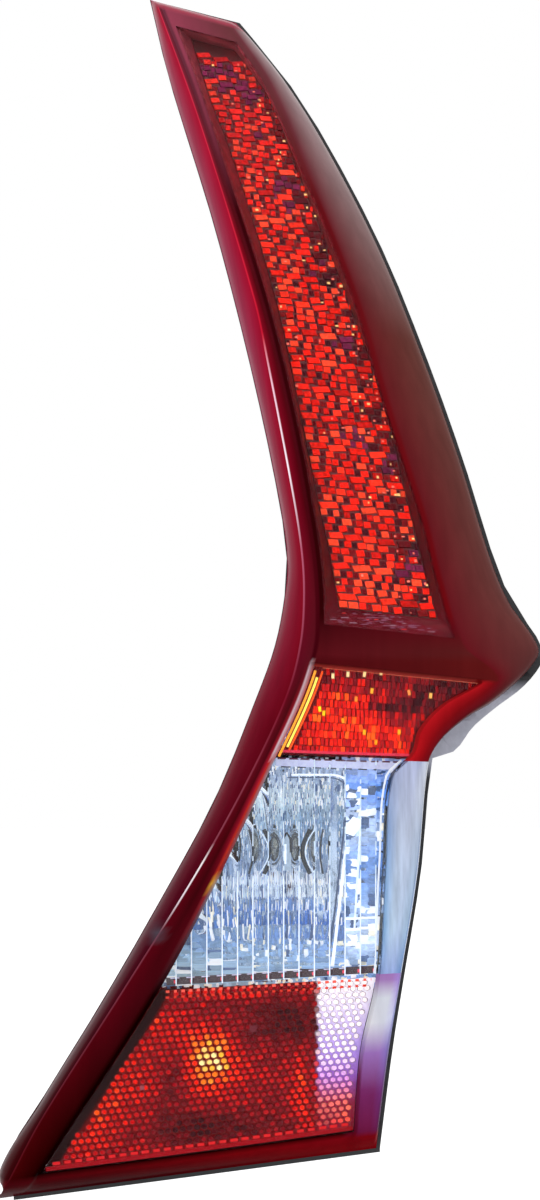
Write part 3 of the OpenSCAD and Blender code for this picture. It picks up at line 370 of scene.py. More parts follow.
materials = {
    # the two-shot lens: glossy and see-through over the optics
    "clearRed": clearPlastic("Polished red acrylic", "#fffafa", 1.15),
    "clear": clearPlastic("Polished clear acrylic", "#fbfdff", 1.45),
    # the lens where it lies on the housing: deep red with long streaks, its tones carrying painted highlights
    # and reflections
    "shell": tonedPlastic("Red acrylic over black ABS", 0.14, gloss["shell"], 8, 0.08, (1, 1, 0.06)),
    # the clear lens's border, its tones carrying painted sky reflections
    "bands": tonedPlastic("Clear acrylic border", 0.1, gloss["border"], 2.4, 0.16, (1, 1, 0.02)),
    # facets and lines that each carry their own painted tone and glow with it: painted reflections, glints
    # and shade
    "brick": tonedPlastic("Reflex brick acrylic", 0.3, gloss["optics"], 1.4, 0.4, rim=0.4, paintedGlow=0.3),
    "pillow": tonedPlastic("Pillow optic acrylic", 0.3, gloss["optics"], 1.6, 0.2, rim=0.45, paintedGlow=0.33),
    "facet": tonedPlastic("Metallised facet with painted reflection", 0.3, gloss["optics"], 1.5, 0.2, paintedGlow=0.45),
    "glint": tonedPlastic("Edge with painted glints and reflections", 0.3, gloss["optics"], 2, 0.1, paintedGlow=0.45),
    "bezel": risingMould("Dark red bezel ABS", [(0, "#6a1020"), (0.1, "#50060e"), (0.45, "#5c0a14"),
                                                (0.75, "#7c2028"), (1, "#984450")], 0.03, 0.43, 0.3),
    "web": mould("Dark red optic web", "#4a0610", 0.4, 3, 0.1, "#6a0a14", 14),
    "chrome": metal("Vacuum-metallised ABS", "#e6ebf2", 0.08, size=4),
    # the moulded back: grained, and pale grey where the shelf shows under the shoulder
    "blackAbs": paleShelfMould("Grained black ABS", "#1c1d20", "#d0d4e0",
                           [("X", (-0.026, -0.022)), ("Y", (-0.07, -0.073)), ("Z", (-0.05, -0.04)),
                            ("Z", (0.01, 0.0))]),
    "board": mould("Lacquered board", "#0f4a28", 0.3, 3, 0.1, "#146034", 8, 0.4),
    "led": mould("Lamp package resin", "#e8dca0", 0.25, 2, 0.1, "#f0e8c0", 3),
    "chip": mould("Black package resin", "#161616", 0.4, 0.8, 0.3),
    "zinc": metal("Zinc-plated steel", "#b4b6b4", 0.3, (1, 1, 0.2)),
    "thread": metal("Zinc-plated threaded steel", "#b4b6b4", 0.28, thread=1),
    "brass": metal("Stamped brass", "#c8a45c", 0.28),
    "nickel": metal("Nickelled brass", "#b9b3a2", 0.22),
    "wire": metal("Drawn tungsten wire", "#6c6c70", 0.35),
    "lead": mould("Red wire insulation", "#7a0d10", 0.35, 0.8, 0.2),
    "carrier": mould("Glass-filled nylon", "#2a2b2e", 0.5, 0.7, 0.35, "#34353a"),
    "blackNylon": mould("Black nylon", "#141416", 0.42, 0.7, 0.3, "#1c1c20"),
    "foam": mould("Closed-cell foam", "#1a1a1c", 0.9, 1.2, 0.9, "#28282b", 6),
    "rubber": mould("Moulded rubber", "#161617", 0.7, 0.8, 0.4),
    "glass": clearPlastic("Bulb glass", "#fbfdff", 1.3),
}
print("materials made,", len(materials))


def newObject(name, data):
    made = bpy.data.objects.new(name, data)
    bpy.context.scene.collection.objects.link(made)
    return made


# Edges that turn more than these angles in degrees stay crisp
cadCrease, meshCrease, fluteCrease = 32, 35, 40


def smooth(mesh, angle):
    mesh.shade_smooth()
    mesh.set_sharp_from_angle(angle=math.radians(angle))


def place(name, mesh, slot, replaced=()):
    piece = newObject(name, mesh)
    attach(piece, "root")
    if replaced:
        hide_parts(*replaced)


# A merged and smoothed copy of a CAD node, which it stands for
def dress(node, material, slot):
    mesh = nodes[node].data.copy()
    mesh.name = node + "_dressed"
    shape = bmesh.new()
    shape.from_mesh(mesh)
    bmesh.ops.remove_doubles(shape, verts=shape.verts, dist=1e-6)
    shape.to_mesh(mesh)
    shape.free()
    mesh.materials.clear()
    mesh.materials.append(materials[material])
    smooth(mesh, cadCrease)
    place(node + "_dressed", mesh, slot, (node,))


def setTones(mesh, tones):
    field = mesh.attributes.new("tone", "FLOAT_COLOR", "POINT")
    for i, tone in enumerate(tones):
        field.data[i].color = tone


def meshOf(name, points, faces, faceMaterials, kinds, angle=meshCrease, tones=None):
    mesh = bpy.data.meshes.new(name)
    mesh.from_pydata([toFrame(p) for p in points], [], faces)
    for kind in kinds:
        mesh.materials.append(materials[kind])
    for face, kind in zip(mesh.polygons, faceMaterials):
        face.material_index = kinds.index(kind)
    if tones:
        setTones(mesh, tones)
    smooth(mesh, angle)
    return mesh


# The lens is one grid of rows and columns. Each section of columns and each stretch of rows has its count
sections = {"flank": 14, "ridge": 2, "strip": 6, "groove": 2, "face": 30, "rise": 2, "border": 3, "roll": 12}
stretches = {"rim": 4, "foot": 26, "low": 34, "mid": 18, "under": 1, "crease": 8, "bezelFoot": 104,
             "bezelTop": 2, "top": 4}
# Bunch draws the flank's columns to the ridge, wallTurn is how its wall turns, fold the frame's low edge
lensGrid = {"ridgeWide": 1.3, "bezelEdge": 4.4, "bezelCover": 2, "bunch": 1.6, "wallTurn": (10, 80),
            "fold": 1}


def startsOf(counts):
    starts, total = {}, 0
    for name, count in counts.items():
        starts[name] = total
        total += count
    return starts


# One row of the lens from left to right: points on its outer face and on its inner one, and for each its
# zone, its share of the way across the zone and its height
def lensRow(row, arm, rim):
    outer, inner, zones = [], [], []

    def add(zone, share, x, y, z, direction):
        if rim:
            y = rimAt(z) if rim == "edge" else mix(rimAt(z), y, rim)
        outer.append((x, y, z))
        zones.append(("lip" if rim else zone, share, z))
        if rim == "edge":
            inner.append((x + direction[0] * lens["wall"], rimAt(z), z + lens["wall"] * (-1 if arm else 1)))
        else:
            inner.append(tuple(p + d * lens["wall"] for p, d in zip((x, y, z), direction)))

    # A run of cells from a to b, with its place behind the front and its share of the zone at both ends
    def run(section, zone, a, b, drops, shares=(0, 1)):
        for i in range(sections[section]):
            t = i / sections[section]
            x, z = mix(a, b, t)
            add(zone, mix(*shares, t), x, faceAt(x, z) + mix(*drops, t), z, (0, 1, 0))

    for i in range(sections["flank"]):
        share = 1 - (1 - i / sections["flank"]) ** lensGrid["bunch"]
        z = mix(spot("outerLeft", row)[1], spot("ridge", row)[1], share)
        x = mix(along("outerLeft", z), along("ridge", z), share)
        turn = math.radians(mix(*lensGrid["wallTurn"], share))
        add("flank", share, x, mix(rimAt(z), faceAt(along("ridge", z), z), along("flankDepth", share)), z,
            (1, 0, 0) if i == 0 else (math.cos(turn), math.sin(turn), 0))
    a, b, front = spot("ridge", row), spot("stripIn", row), spot("frontRight", row)
    past = mix(a, b, lensGrid["ridgeWide"] / max(b[0] - a[0], 4))
    foot = spot("stripIn", row, lens["step"])
    fold, deep = lensGrid["fold"], lens["recess"]
    run("ridge", "ridge", a, past, (0, 0), (0, 0))
    run("strip", "strip", past, b, (0, fold))
    run("groove", "groove", b, foot, (fold, 0 if arm else deep))
    if arm:
        cells = sections["face"] + sections["rise"] + sections["border"]
        inset = lensGrid["bezelEdge"]
        left, right = spot("stripIn", row, inset), spot("frontRight", row, -inset)
        for i in range(cells):
            x, z = foot if i == 0 else mix(left, right, (i - 1) / (cells - 3))
            if i == cells - 1:
                x, z = mix(right, front, 0.5)
            add("ledge", (x - foot[0]) / (front[0] - foot[0]), x, faceAt(x, z), z, (0, 1, 0))
    else:
        right, past = spot("windowRight", row), spot("windowRight", row, lens["step"])
        run("face", "groove", foot, right, (deep, deep), (1, 1))
        run("rise", "rise", right, past, (deep, fold))
        run("border", "border", past, front, (fold, 0))
    last = spot("outerRight", row)
    for i in range(sections["roll"] + 1):
        turn = math.radians(90 * i / sections["roll"])
        x, z = mix(front[0], last[0], math.sin(turn)), mix(front[1], last[1], math.sin(turn))
        y = mix(rimAt(last[1]), faceAt(*front), math.cos(turn))
        add("roll", math.sin(turn), x, y, z, (-math.sin(turn), math.cos(turn), 0))
    return outer, inner, zones


def buildLensGrid():
    lines = dict(rows, under=edge("crease", -lens["step"]))
    names = list(stretches) + ["tip"]
    grid = []
    for low, high in zip(names, names[1:]):
        count = stretches[low]
        for i in range(count + (low == "top")):
            rim, turn = 0, math.radians(90 * i / count)
            if low == "rim":
                rim = math.sin(turn) if i else "edge"
            if low == "top" and i:
                rim = math.cos(turn) if i < count else "edge"
            grid.append(lensRow(mix(lines[low], lines[high], i / count), rowAt[low] >= rowAt["crease"], rim))
    return zip(*grid)


columns, rowAt = startsOf(sections), startsOf(stretches)
outerGrid, innerGrid, zoneGrid = buildLensGrid()
rowTotal, columnTotal = len(outerGrid), len(outerGrid[0])


def cellKind(r, c):
    if r < rowAt["foot"] or c < columns["face"]:
        return "shell"
    if isClear(r, c):
        return "clear" if c < columns["border"] else "bands"
    if r >= rowAt["crease"] - 1:
        overBezel = columns["face"] < c < columns["roll"] - lensGrid["bezelCover"]
        return "clearRed" if overBezel and rowAt["bezelFoot"] <= r < rowAt["bezelTop"] else "shell"
    return "clearRed" if c < columns["rise"] else "shell"


def isClear(r, c):
    return rowAt["low"] <= r < rowAt["mid"] and c >= columns["face"]


# A small scuff on the strip beside the reverse window
scuff = {"x": 94, "z": 157, "reach": 7, "share": 0.75, "tone": "#50505c"}
clearZones = {"border": "clearBorder", "rise": "clearBorder", "roll": "clearRoll"}


# Outer and inner faces of the wanted cells, with walls where the next cell is not one of them
def lensShell(name, wanted, clear=False):
    points, tones, index, faces, kinds = [], [], {}, [], []

    def at(side, r, c):
        if (side, r, c) not in index:
            index[side, r, c] = len(points)
            x, y, z = (outerGrid if side == 0 else innerGrid)[r][c]
            points.append((x, y, z))
            zone, share, z = zoneGrid[r][c]
            zone = clearZones.get(zone, zone) if clear else zone
            worn = scuff["share"] * max(1 - math.hypot(x - scuff["x"], z - scuff["z"]) / scuff["reach"], 0)
            tones.append(mix(paintAt(zone, share, z), linear(scuff["tone"]), worn))
        return index[side, r, c]

    def has(r, c):
        return 0 <= r < rowTotal - 1 and 0 <= c < columnTotal - 1 and wanted(r, c)

    for r in range(rowTotal - 1):
        for c in range(columnTotal - 1):
            if not has(r, c):
                continue
            corners = [(r, c), (r, c + 1), (r + 1, c + 1), (r + 1, c)]
            faces.append([at(0, *p) for p in corners])
            faces.append([at(1, *p) for p in reversed(corners)])
            kinds += [cellKind(r, c)] * 2
            sides = zip(corners, corners[1:] + corners[:1], ((-1, 0), (0, 1), (1, 0), (0, -1)))
            for p, q, (dr, dc) in sides:
                if not has(r + dr, c + dc):
                    faces.append([at(0, *q), at(0, *p), at(1, *p), at(1, *q)])
                    kinds.append(cellKind(r, c))
    return meshOf(name, points, faces, kinds, sorted(set(kinds)), tones=tones)


place("lens_red_dressed", lensShell("lens_red_dressed", lambda r, c: not isClear(r, c)), "lens_red",
      ("lens_red",))
place("lens_clear_edge",
      lensShell("lens_clear_edge", lambda r, c: isClear(r, c) and c >= columns["rise"], True), "lens_clear")
print("lens shells made")


# The clear window's inner face carries upright flutes. The cusp between two carries a painted highlight, a
# pale line that is whole low down and broken higher up
clearWindow = {"cellsPerFlute": 12, "rows": 45, "wholeBelow": 190, "brokenShare": 0.5, "lowTone": "#e8f2ff",
               "highTone": "#c8d8e8", "seed": 4}


def buildLensClear():
    chance = random.Random(clearWindow["seed"])
    pitch, rise, perFlute = lens["fluteWidth"], lens["fluteRise"], clearWindow["cellsPerFlute"]
    widest = spot("windowRight", rows["low"])[0]
    left = spot("stripIn", rows["low"], lens["step"])[0]
    steps = int((widest - left) / pitch * perFlute) + 1
    points, faces, kinds, tones = [], [], [], []
    for k in range(clearWindow["rows"] + 1):
        row = mix(rows["low"], rows["mid"], k / clearWindow["rows"])
        a, b = spot("stripIn", row, lens["step"]), spot("windowRight", row)
        for i in range(steps + 1):
            x, z = max(widest - i * pitch / perFlute, a[0]), mix(b[1], a[1], min(i / steps, 1))
            x = min(x, b[0])
            y = faceAt(x, z) + lens["recess"]
            phase = ((widest - x) / pitch) % 1 * 2 - 1
            points += [(x, y, z), (x, y + lens["wall"] + rise * (1 - phase * phase), z)]
            tones += [linear(clearWindow["lowTone" if z < clearWindow["wholeBelow"] else "highTone"])] * 2
    wide = 2 * (steps + 1)

    def face(corners, kind="clear"):
        if len({points[i] for i in corners}) == len(corners):
            faces.append(corners)
            kinds.append(kind)

    for k in range(clearWindow["rows"]):
        for i in range(steps):
            p = k * wide + 2 * i
            whole = points[p][2] < clearWindow["wholeBelow"]
            lit = i % perFlute == 0 and (whole or chance.random() < clearWindow["brokenShare"])
            face([p, p + wide, p + wide + 2, p + 2])
            face([p + 1, p + 3, p + wide + 3, p + wide + 1], "glint" if lit else "clear")
            if k == 0:
                face([p, p + 2, p + 3, p + 1])
            if k == clearWindow["rows"] - 1:
                face([p + wide, p + wide + 1, p + wide + 3, p + wide + 2])
        p = k * wide
        face([p, p + 1, p + wide + 1, p + wide])
        p += 2 * steps
        face([p, p + wide, p + wide + 1, p + 1])
    mesh = meshOf("lens_clear_dressed", points, faces, kinds, ["clear", "glint"], fluteCrease, tones)
    place("lens_clear_dressed", mesh, "lens_clear", ("lens_clear",))


buildLensClear()
print("clear window made")


# Facets stand on points by Geometry Nodes. A form is a low frustum with its crown towards -Y
def facetForm(name, corners, top):
    count = len(corners)
    mesh = bpy.data.meshes.new(name)
    mesh.from_pydata([(x, 0, z) for x, z in corners] + [(x * top, -1, z * top) for x, z in corners], [],
                     [[i, (i + 1) % count, count + (i + 1) % count, count + i] for i in range(count)]
                     + [list(range(count, 2 * count))])
    crown = mesh.attributes.new("crown", "FLOAT", "FACE")
    crown.data[count].value = 1
    return newObject(name, mesh)


def ringOf(sides, turn):
    turns = [2 * math.pi * (i + turn) / sides for i in range(sides)]
    return [(0.5 * math.cos(a), 0.5 * math.sin(a)) for a in turns]


forms = {"pillow": facetForm("pillow_form", ringOf(6, 0.5), 0.74),
         "block": facetForm("block_form", [(-0.5, -0.5), (0.5, -0.5), (0.5, 0.5), (-0.5, 0.5)], 0.8),
         "brick": facetForm("brick_form", [(-0.42, -0.5), (0.58, -0.5), (0.42, 0.5), (-0.58, 0.5)], 0.86)}


def facetTree(form, material, tilt, seed):
    tree = bpy.data.node_groups.new(form + " facets", "GeometryNodeTree")
    tree.interface.new_socket("Geometry", in_out="INPUT", socket_type="NodeSocketGeometry")
    for label, kind, value in (("Tilt", "NodeSocketFloat", tilt), ("Seed", "NodeSocketInt", seed)):
        tree.interface.new_socket(label, in_out="INPUT", socket_type=kind).default_value = value
    tree.interface.new_socket("Geometry", in_out="OUTPUT", socket_type="NodeSocketGeometry")
    given = addNode(tree, "NodeGroupInput")
    facet = addNode(tree, "GeometryNodeObjectInfo", values={"Object": forms[form]})
    size, turn = (addNode(tree, "GeometryNodeInputNamedAttribute", data_type="FLOAT_VECTOR",
                          values={"Name": label}) for label in ("size", "turn"))
    wobble = addNode(tree, "FunctionNodeRandomValue", data_type="FLOAT_VECTOR",
                     links={"Seed": given.outputs["Seed"]})
    centred = addNode(tree, "VectorMath", operation="SUBTRACT",
                      values={1: (0.5, 0.5, 0.5)}, links={0: wobble})
    scaled = addNode(tree, "VectorMath", operation="SCALE",
                     links={0: centred, "Scale": given.outputs["Tilt"]})
    turned = addNode(tree, "VectorMath", operation="ADD", links={0: scaled, 1: turn})
    stood = addNode(tree, "GeometryNodeInstanceOnPoints",
                    links={"Points": given, "Instance": facet.outputs["Geometry"], "Rotation": turned,
                           "Scale": size})
    joined = addNode(tree, "GeometryNodeRealizeInstances", links={"Geometry": stood})
    finish = addNode(tree, "GeometryNodeSetMaterial", values={"Material": materials[material]},
                     links={"Geometry": joined})
    addNode(tree, "NodeGroupOutput", links={"Geometry": finish})
    return tree


# Facets is a list of [point, size in millimetres, turn, tone]. The tree's result is kept as a plain mesh
def growFacets(name, facets, form, material, slot, tilt, seed):
    mesh = bpy.data.meshes.new(name + "_places")
    mesh.from_pydata([toFrame(f[0]) for f in facets], [], [])
    for label, at, scale in (("size", 1, 0.001), ("turn", 2, 1)):
        field = mesh.attributes.new(label, "FLOAT_VECTOR", "POINT")
        for i, facet in enumerate(facets):
            field.data[i].vector = [v * scale for v in facet[at]]
    setTones(mesh, [f[3] for f in facets])
    seedPiece = newObject(name + "_seed", mesh)
    seedPiece.modifiers.new("Facets", "NODES").node_group = facetTree(form, material, tilt, seed)
    graph = bpy.context.evaluated_depsgraph_get()
    made = bpy.data.meshes.new_from_object(seedPiece.evaluated_get(graph), depsgraph=graph)
    made.name = name
    bpy.data.objects.remove(seedPiece)
    print(name, "has", len(facets), "facets")
    place(name, made, slot)


# Reflex panel of the arm. Every fourth row has long bricks, and those between are short with dark gaps. Which
# bricks are bright and which dark is painted light and shade. Gold and pink sparks near the right edge are
# painted glints, violet patches are painted reflections, and towards the top the painted light fades, bright
# and dark bricks both drawing towards one muted red
panel = {"recess": 18, "pitch": (4.7, 3.8), "thick": 2.2, "rise": 1.4, "seed": 11, "longRow": 4,
         "long": (9, 12.5), "short": (3.8, 7.2), "gap": (1.6, 4.2), "longGap": (0.8, 1.8), "lightFadeFrom": 560,
         "bright": ["#f02010", "#f83018", "#e01808", "#f84828", "#c01008"],
         "dark": ["#4a0410", "#5c0610", "#3c0412", "#70080e"], "gold": "#ffd888", "pink": "#ff7c68",
         "violet": "#64183c", "lightFadeTone": "#a82830", "lightFadeShare": (0.5, 0.3),
         # share of rows that start with a painted bright brick and of gaps that close, and where bricks take
         # painted shade or a painted glint
         "startLit": 0.6, "stayLit": 0.22, "narrow": 0.82, "cover": (0.94, 0.86), "endLow": 7,
         "lightFadeRise": 140, "darkFrom": 0.75, "darkShare": 0.4, "sparkFrom": 0.72, "sparkShare": (0.3, 0.07),
         # patches of painted violet reflection as x, height, half width, half height and share of bricks that
         # take it
         "violetReflections": [(214, 456, 9, 7, 0.6), (236, 440, 7, 8, 0.5), (196, 560, 14, 8, 0.35),
                     (144, 676, 14, 8, 0.6), (124, 690, 22, 5, 0.75), (160, 650, 8, 6, 0.4),
                     (172, 610, 8, 14, 0.4), (250, 376, 9, 12, 0.35), (205, 520, 7, 9, 0.3)]}


def panelPoint(row, s):
    a, b = spot("panelLeft", row), spot("panelRight", row)
    x, z = mix(a, b, s)
    return x, along("faceDepth", z) + panel["recess"], z


def brickTone(chance, s, x, z, lit):
    # painted violet reflection on bricks inside a patch
    for px, pz, wide, high, share in panel["violetReflections"]:
        if ((x - px) / wide) ** 2 + ((z - pz) / high) ** 2 < 1 and chance.random() < share:
            return shade(linear(panel["violet"]), 0.7 + 0.8 * chance.random())
    # painted light that fades over the top rows, bright and dark bricks both drawing towards one muted red
    lightFade = within((z - panel["lightFadeFrom"]) / panel["lightFadeRise"])
    # painted shade: more bricks go dark near the right edge
    if s > panel["darkFrom"] and chance.random() < panel["darkShare"]:
        lit = False
    tone = linear(chance.choice(panel["bright" if lit else "dark"]))
    lightFade *= panel["lightFadeShare"][0 if lit else 1]
    return shade(mix(tone, linear(panel["lightFadeTone"]), lightFade), 0.75 + 0.4 * chance.random())


def buildBricks():
    chance = random.Random(panel["seed"])
    facets = []
    foot, top = rows["panelFoot"], rows["panelTop"]
    height, count = foot[0], 0
    while height < top[0] - panel["endLow"]:
        t = (height - foot[0]) / (top[0] - foot[0])
        pitch = mix(*panel["pitch"], t)
        row = mix(foot, top, (height + pitch / 2 - foot[0]) / (top[0] - foot[0]))
        wide = panelPoint(row, 1)[0] - panelPoint(row, 0)[0]
        long = count % panel["longRow"] == 1
        reach, lit = 0.0, chance.random() < panel["startLit"]
        while reach < wide - 1:
            if lit:
                size = chance.uniform(*panel["long" if long else "short"])
            else:
                size = chance.uniform(*panel["longGap" if long else "gap"])
            size = min(size * mix(1, panel["narrow"], t), wide - reach)
            s = (reach + size / 2) / wide
            x, y, z = panelPoint(row, s)
            lean = math.atan((along("faceDepth", z + 2) - along("faceDepth", z - 2)) / 4)
            box = (size * 0.98, panel["rise"] if lit else 0.5, pitch * panel["cover"][0 if lit else 1])
            facets.append([(x, y + 0.3, z), box, (-lean, 0, 0), brickTone(chance, s, x, z, lit)])
            # painted gold and pink glints, more of them near the right edge
            if chance.random() < panel["sparkShare"][0 if s > panel["sparkFrom"] else 1]:
                spark = panelPoint(row, min(s + chance.uniform(-0.03, 0.03), 1))
                facets.append([(spark[0], spark[1] - panel["rise"], spark[2] + chance.uniform(-1, 1)),
                               (chance.uniform(0.8, 2.2), 0.4, chance.uniform(0.8, 1.8)), (-lean, 0, 0),
                               linear(panel["gold" if chance.random() < 0.5 else "pink"])])
            reach += size
            lit = not lit or chance.random() < panel["stayLit"]
        height += pitch
        count += 1
    growFacets("reflex_bricks", facets, "brick", "brick", "reflex", 0.16, panel["seed"])


# The plate that carries the bricks
def buildPanelBack():
    points, faces, n = [], [], 60
    for i in range(n + 1):
        row = mix(rows["panelFoot"], rows["panelTop"], i / n)
        for s in (0, 1):
            x, y, z = panelPoint(row, s)
            points += [(x, y, z), (x, y + panel["thick"], z)]
    for i in range(n):
        p = 4 * i
        faces += [[p, p + 2, p + 6, p + 4], [p + 1, p + 5, p + 7, p + 3], [p, p + 4, p + 5, p + 1],
                  [p + 2, p + 3, p + 7, p + 6]]
    faces += [[0, 1, 3, 2], [4 * n, 4 * n + 2, 4 * n + 3, 4 * n + 1]]
    place("reflex_plate", meshOf("reflex_plate", points, faces, ["web"] * len(faces), ["web"]), "reflex",
          ("reflex_panel",))


# Painted glare and painted red glints on the bezel's sill under the bricks
sill = {"count": 110, "seed": 21, "reach": (0.1, 0.95), "aside": (8, 4), "lean": -0.9, "spread": 2.2,
        "tones": ["#704058", "#702838", "#601828", "#806070", "#c02424", "#50101c"]}


def buildSill():
    chance = random.Random(sill["seed"])
    facets = []
    for _ in range(sill["count"]):
        t = chance.uniform(*sill["reach"])
        row = mix(rows["bezelFoot"], rows["panelFoot"], t)
        a, b = (spot("stripIn", row, sill["aside"][0]),
                spot("panelRight", row, sill["aside"][1] * (1 - t)))
        side = chance.betavariate(2, 2)
        x, z = mix(a, b, side)
        y = faceAt(x, z) + lens["wall"] + 1 + (panel["recess"] - lens["wall"] - 1) * t - 1
        tone = sill["tones"][min(int(abs(chance.gauss(0, sill["spread"]))), len(sill["tones"]) - 1)]
        box = (chance.uniform(1.5, 5), 0.3, chance.uniform(0.4, 0.9))
        facets.append([(x, y, z), box, (sill["lean"], 0, 0), linear(tone)])
    growFacets("bezel_sill_glare", facets, "block", "glint", "bezel", 0.1, sill["seed"])


buildBricks()
buildPanelBack()
buildSill()

# Pillow optics behind the two red windows, whose tones are painted light and shade. The glow ramp runs from
# the dark web to the yellow of a painted glow round the bulb
glowRamp = [[0, "#2c020a"], [0.15, "#560612"], [0.32, "#8c0a16"], [0.5, "#c8100c"], [0.66, "#f42a10"],
        [0.8, "#ff7a1c"], [0.9, "#ffc23c"], [1, "#fff0a0"]]
pillows = {"behind": 0.6, "rise": 1.4, "seed": 5, "spark": (2, 0.4, 3.6)}
web = {"steps": (90, 50), "mid": "#5c0810", "wedge": ("#160001", "#600408"), "wedgeWide": 1.5,
       "inset": {"left": 0.5, "right": -0.3, "under": 1, "over": -2.5}}
# Margins are left, right, under and over. A light patch is x, z, half width, half height, turn and strength,
# and paints light where its strength is above 0 and shade where it is below. A spark is x, z and the tone of
# a painted glint
windows = {
    "lower": {"rows": ("foot", "low"), "size": (4.4, 3.8), "margin": (10, 2, 8, 5), "form": "pillow",
              "width": (0.88, 1.08), "jitter": 0.24, "base": 0.37, "stagger": 0.5, "high": 1.04,
              "lightPatches": [(127, 79, 14, 16, 0, 0.62), (127, 79, 26, 24, 0, 0.06), (62, 52, 17, 36, 32, 0.27),
                        (181, 56, 5, 26, -4, 0.3), (92, 106, 30, 8, 20, 0.2), (172, 104, 30, 17, 0, -0.34),
                        (142, 40, 38, 11, 0, -0.2), (214, 50, 14, 34, 0, 0.34), (104, 66, 7, 20, 0, -0.2),
                        (112, 36, 26, 9, 0, -0.24), (148, 119, 50, 4, 3, 0.16)],
              "sparks": []},
    "mid": {"rows": ("mid", "crease"), "size": (2.6, 4.6), "margin": (11, 1, 5, 5), "form": "block",
            "width": (0.8, 1.2), "jitter": 0.36, "base": 0.45, "stagger": 0.3, "high": 1.14,
            "lightPatches": [(200, 288, 24, 24, 0, 0.15), (262, 303, 26, 16, -20, -0.36),
                      (225, 316, 60, 5, -6, -0.3), (240, 276, 24, 9, 0, 0.12),
                      (232, 294, 22, 2.6, -4, -0.32), (214, 306, 14, 2.2, 0, -0.2)],
            "sparks": [(200, 313, "#ffe8a8"), (209, 314, "#ffe8a8"), (219, 314, "#ffe4a0"),
                       (229, 315, "#ffd890"), (192, 293, "#ffe020"), (194.5, 290.5, "#ffc820"),
                       (219, 279, "#ffb020"), (240, 279, "#ffa828"), (223.5, 304, "#ffb838"),
                       (226, 273, "#ff9c20"), (259, 301, "#ffc060"), (246, 303, "#ffa050"),
                       (214, 299, "#ff8a30"), (206, 286, "#ff9a20")]},
}


# A painted reflection of the open sky lies on the right of the lower window. Each line gives a height, the
# reflection's share and its tone
skyPillows = [[30, 0.1, "#d84858"], [52, 0.5, "#f89890"], [68, 0.9, "#d8a8f8"], [84, 1, "#f0f0ff"],
              [128, 1, "#ffffff"]]
skyWeb = [[30, 0.3, "#901838"], [52, 0.5, "#a03058"], [68, 0.8, "#9060c8"], [84, 0.95, "#a890e8"],
          [128, 1, "#f0f8ff"]]
skyFrom, skyBlend = 190, 2


def skyAt(table, x, z):
    share = stopsAt(table, z, lambda line: line[1]) * within((x - skyFrom) / skyBlend)
    return share, stopsAt(table, z, lambda line: linear(line[2]))


# painted light and shade at a point of a window, summed over its light patches
def paintedLightAt(window, x, z):
    total = windows[window]["base"]
    for gx, gz, wide, high, turn, strength in windows[window]["lightPatches"]:
        a = math.radians(turn)
        u = ((x - gx) * math.cos(a) - (z - gz) * math.sin(a)) / wide
        v = ((x - gx) * math.sin(a) + (z - gz) * math.cos(a)) / high
        total += strength * math.exp(-(u * u + v * v))
    return total


def behindWindow(x, z, depth=0.0):
    return faceAt(x, z) + lens["recess"] + lens["wall"] + pillows["behind"] + depth


def buildPillows(name):
    window = windows[name]
    chance = random.Random(pillows["seed"])
    size = window["size"]
    left, right, under, over = window["margin"]
    low, high = edge(window["rows"][0], under), edge(window["rows"][1], -over)
    count = int((high[0] - low[0]) / size[1])
    facets = []
    for k in range(count + 1):
        row = mix(low, high, k / count)
        a, b = spot("stripIn", row, left), spot("windowRight", row, -right)
        x = b[0] - size[0] * (0.5 + window["stagger"] * (k % 2))
        while x > a[0]:
            z = mix(a[1], b[1], (x - a[0]) / (b[0] - a[0]))
            paintedLevel = paintedLightAt(name, x, z) + (chance.random() - 0.5) * window["jitter"]
            tone = stopsAt(glowRamp, paintedLevel, lambda stop: linear(stop[1]))
            if name == "lower":
                share, sky = skyAt(skyPillows, x, z)
                tone = mix(tone, sky, share)
            wide = size[0] * chance.uniform(*window["width"])
            facets.append([(x, behindWindow(x, z, pillows["rise"]), z),
                           (wide, pillows["rise"], size[1] * window["high"]), (0, 0, 0), tone])
            x -= size[0]
    # small painted glints
    for x, z, colour in window["sparks"]:
        facets.append([(x, behindWindow(x, z, -0.2), z), pillows["spark"], (0, 0, 0), linear(colour)])
    growFacets(name + "_window_optics", facets, window["form"], "pillow", "lens_red", 0.3, pillows["seed"])


# The dark web between the pillows, which also fills the window to its edges. On the lower window it carries
# the painted sky reflection on the right
def webTone(name, x, z):
    if name == "mid":
        return linear(web["mid"])
    aside = x - along("stripIn", z) - windows[name]["margin"][0] + 1
    wedge = mix(*map(linear, web["wedge"]), within(aside / web["wedgeWide"]))
    share, tone = skyAt(skyWeb, x, z)
    return mix(wedge, tone, share)


def buildOpticWeb(name):
    n, m = web["steps"]
    points, faces, tones = [], [], []
    foot, top = windows[name]["rows"]
    inset = web["inset"]
    for k in range(m + 1):
        row = mix(edge(foot, inset["under"]), edge(top, inset["over"]), k / m)
        a, b = spot("stripIn", row, lens["step"] + inset["left"]), spot("windowRight", row, inset["right"])
        for i in range(n + 1):
            x, z = mix(a, b, i / n)
            points.append((x, behindWindow(x, z, pillows["rise"]), z))
            tones.append(webTone(name, x, z))
    for k in range(m):
        for i in range(n):
            p = k * (n + 1) + i
            faces.append([p, p + 1, p + n + 2, p + n + 1])
    mesh = meshOf(name + "_optic_web", points, faces, ["glint"] * len(faces), ["glint"], tones=tones)
    place(name + "_optic_web", mesh, "lens_red")


for window in windows:
    buildPillows(window)
    buildOpticWeb(window)

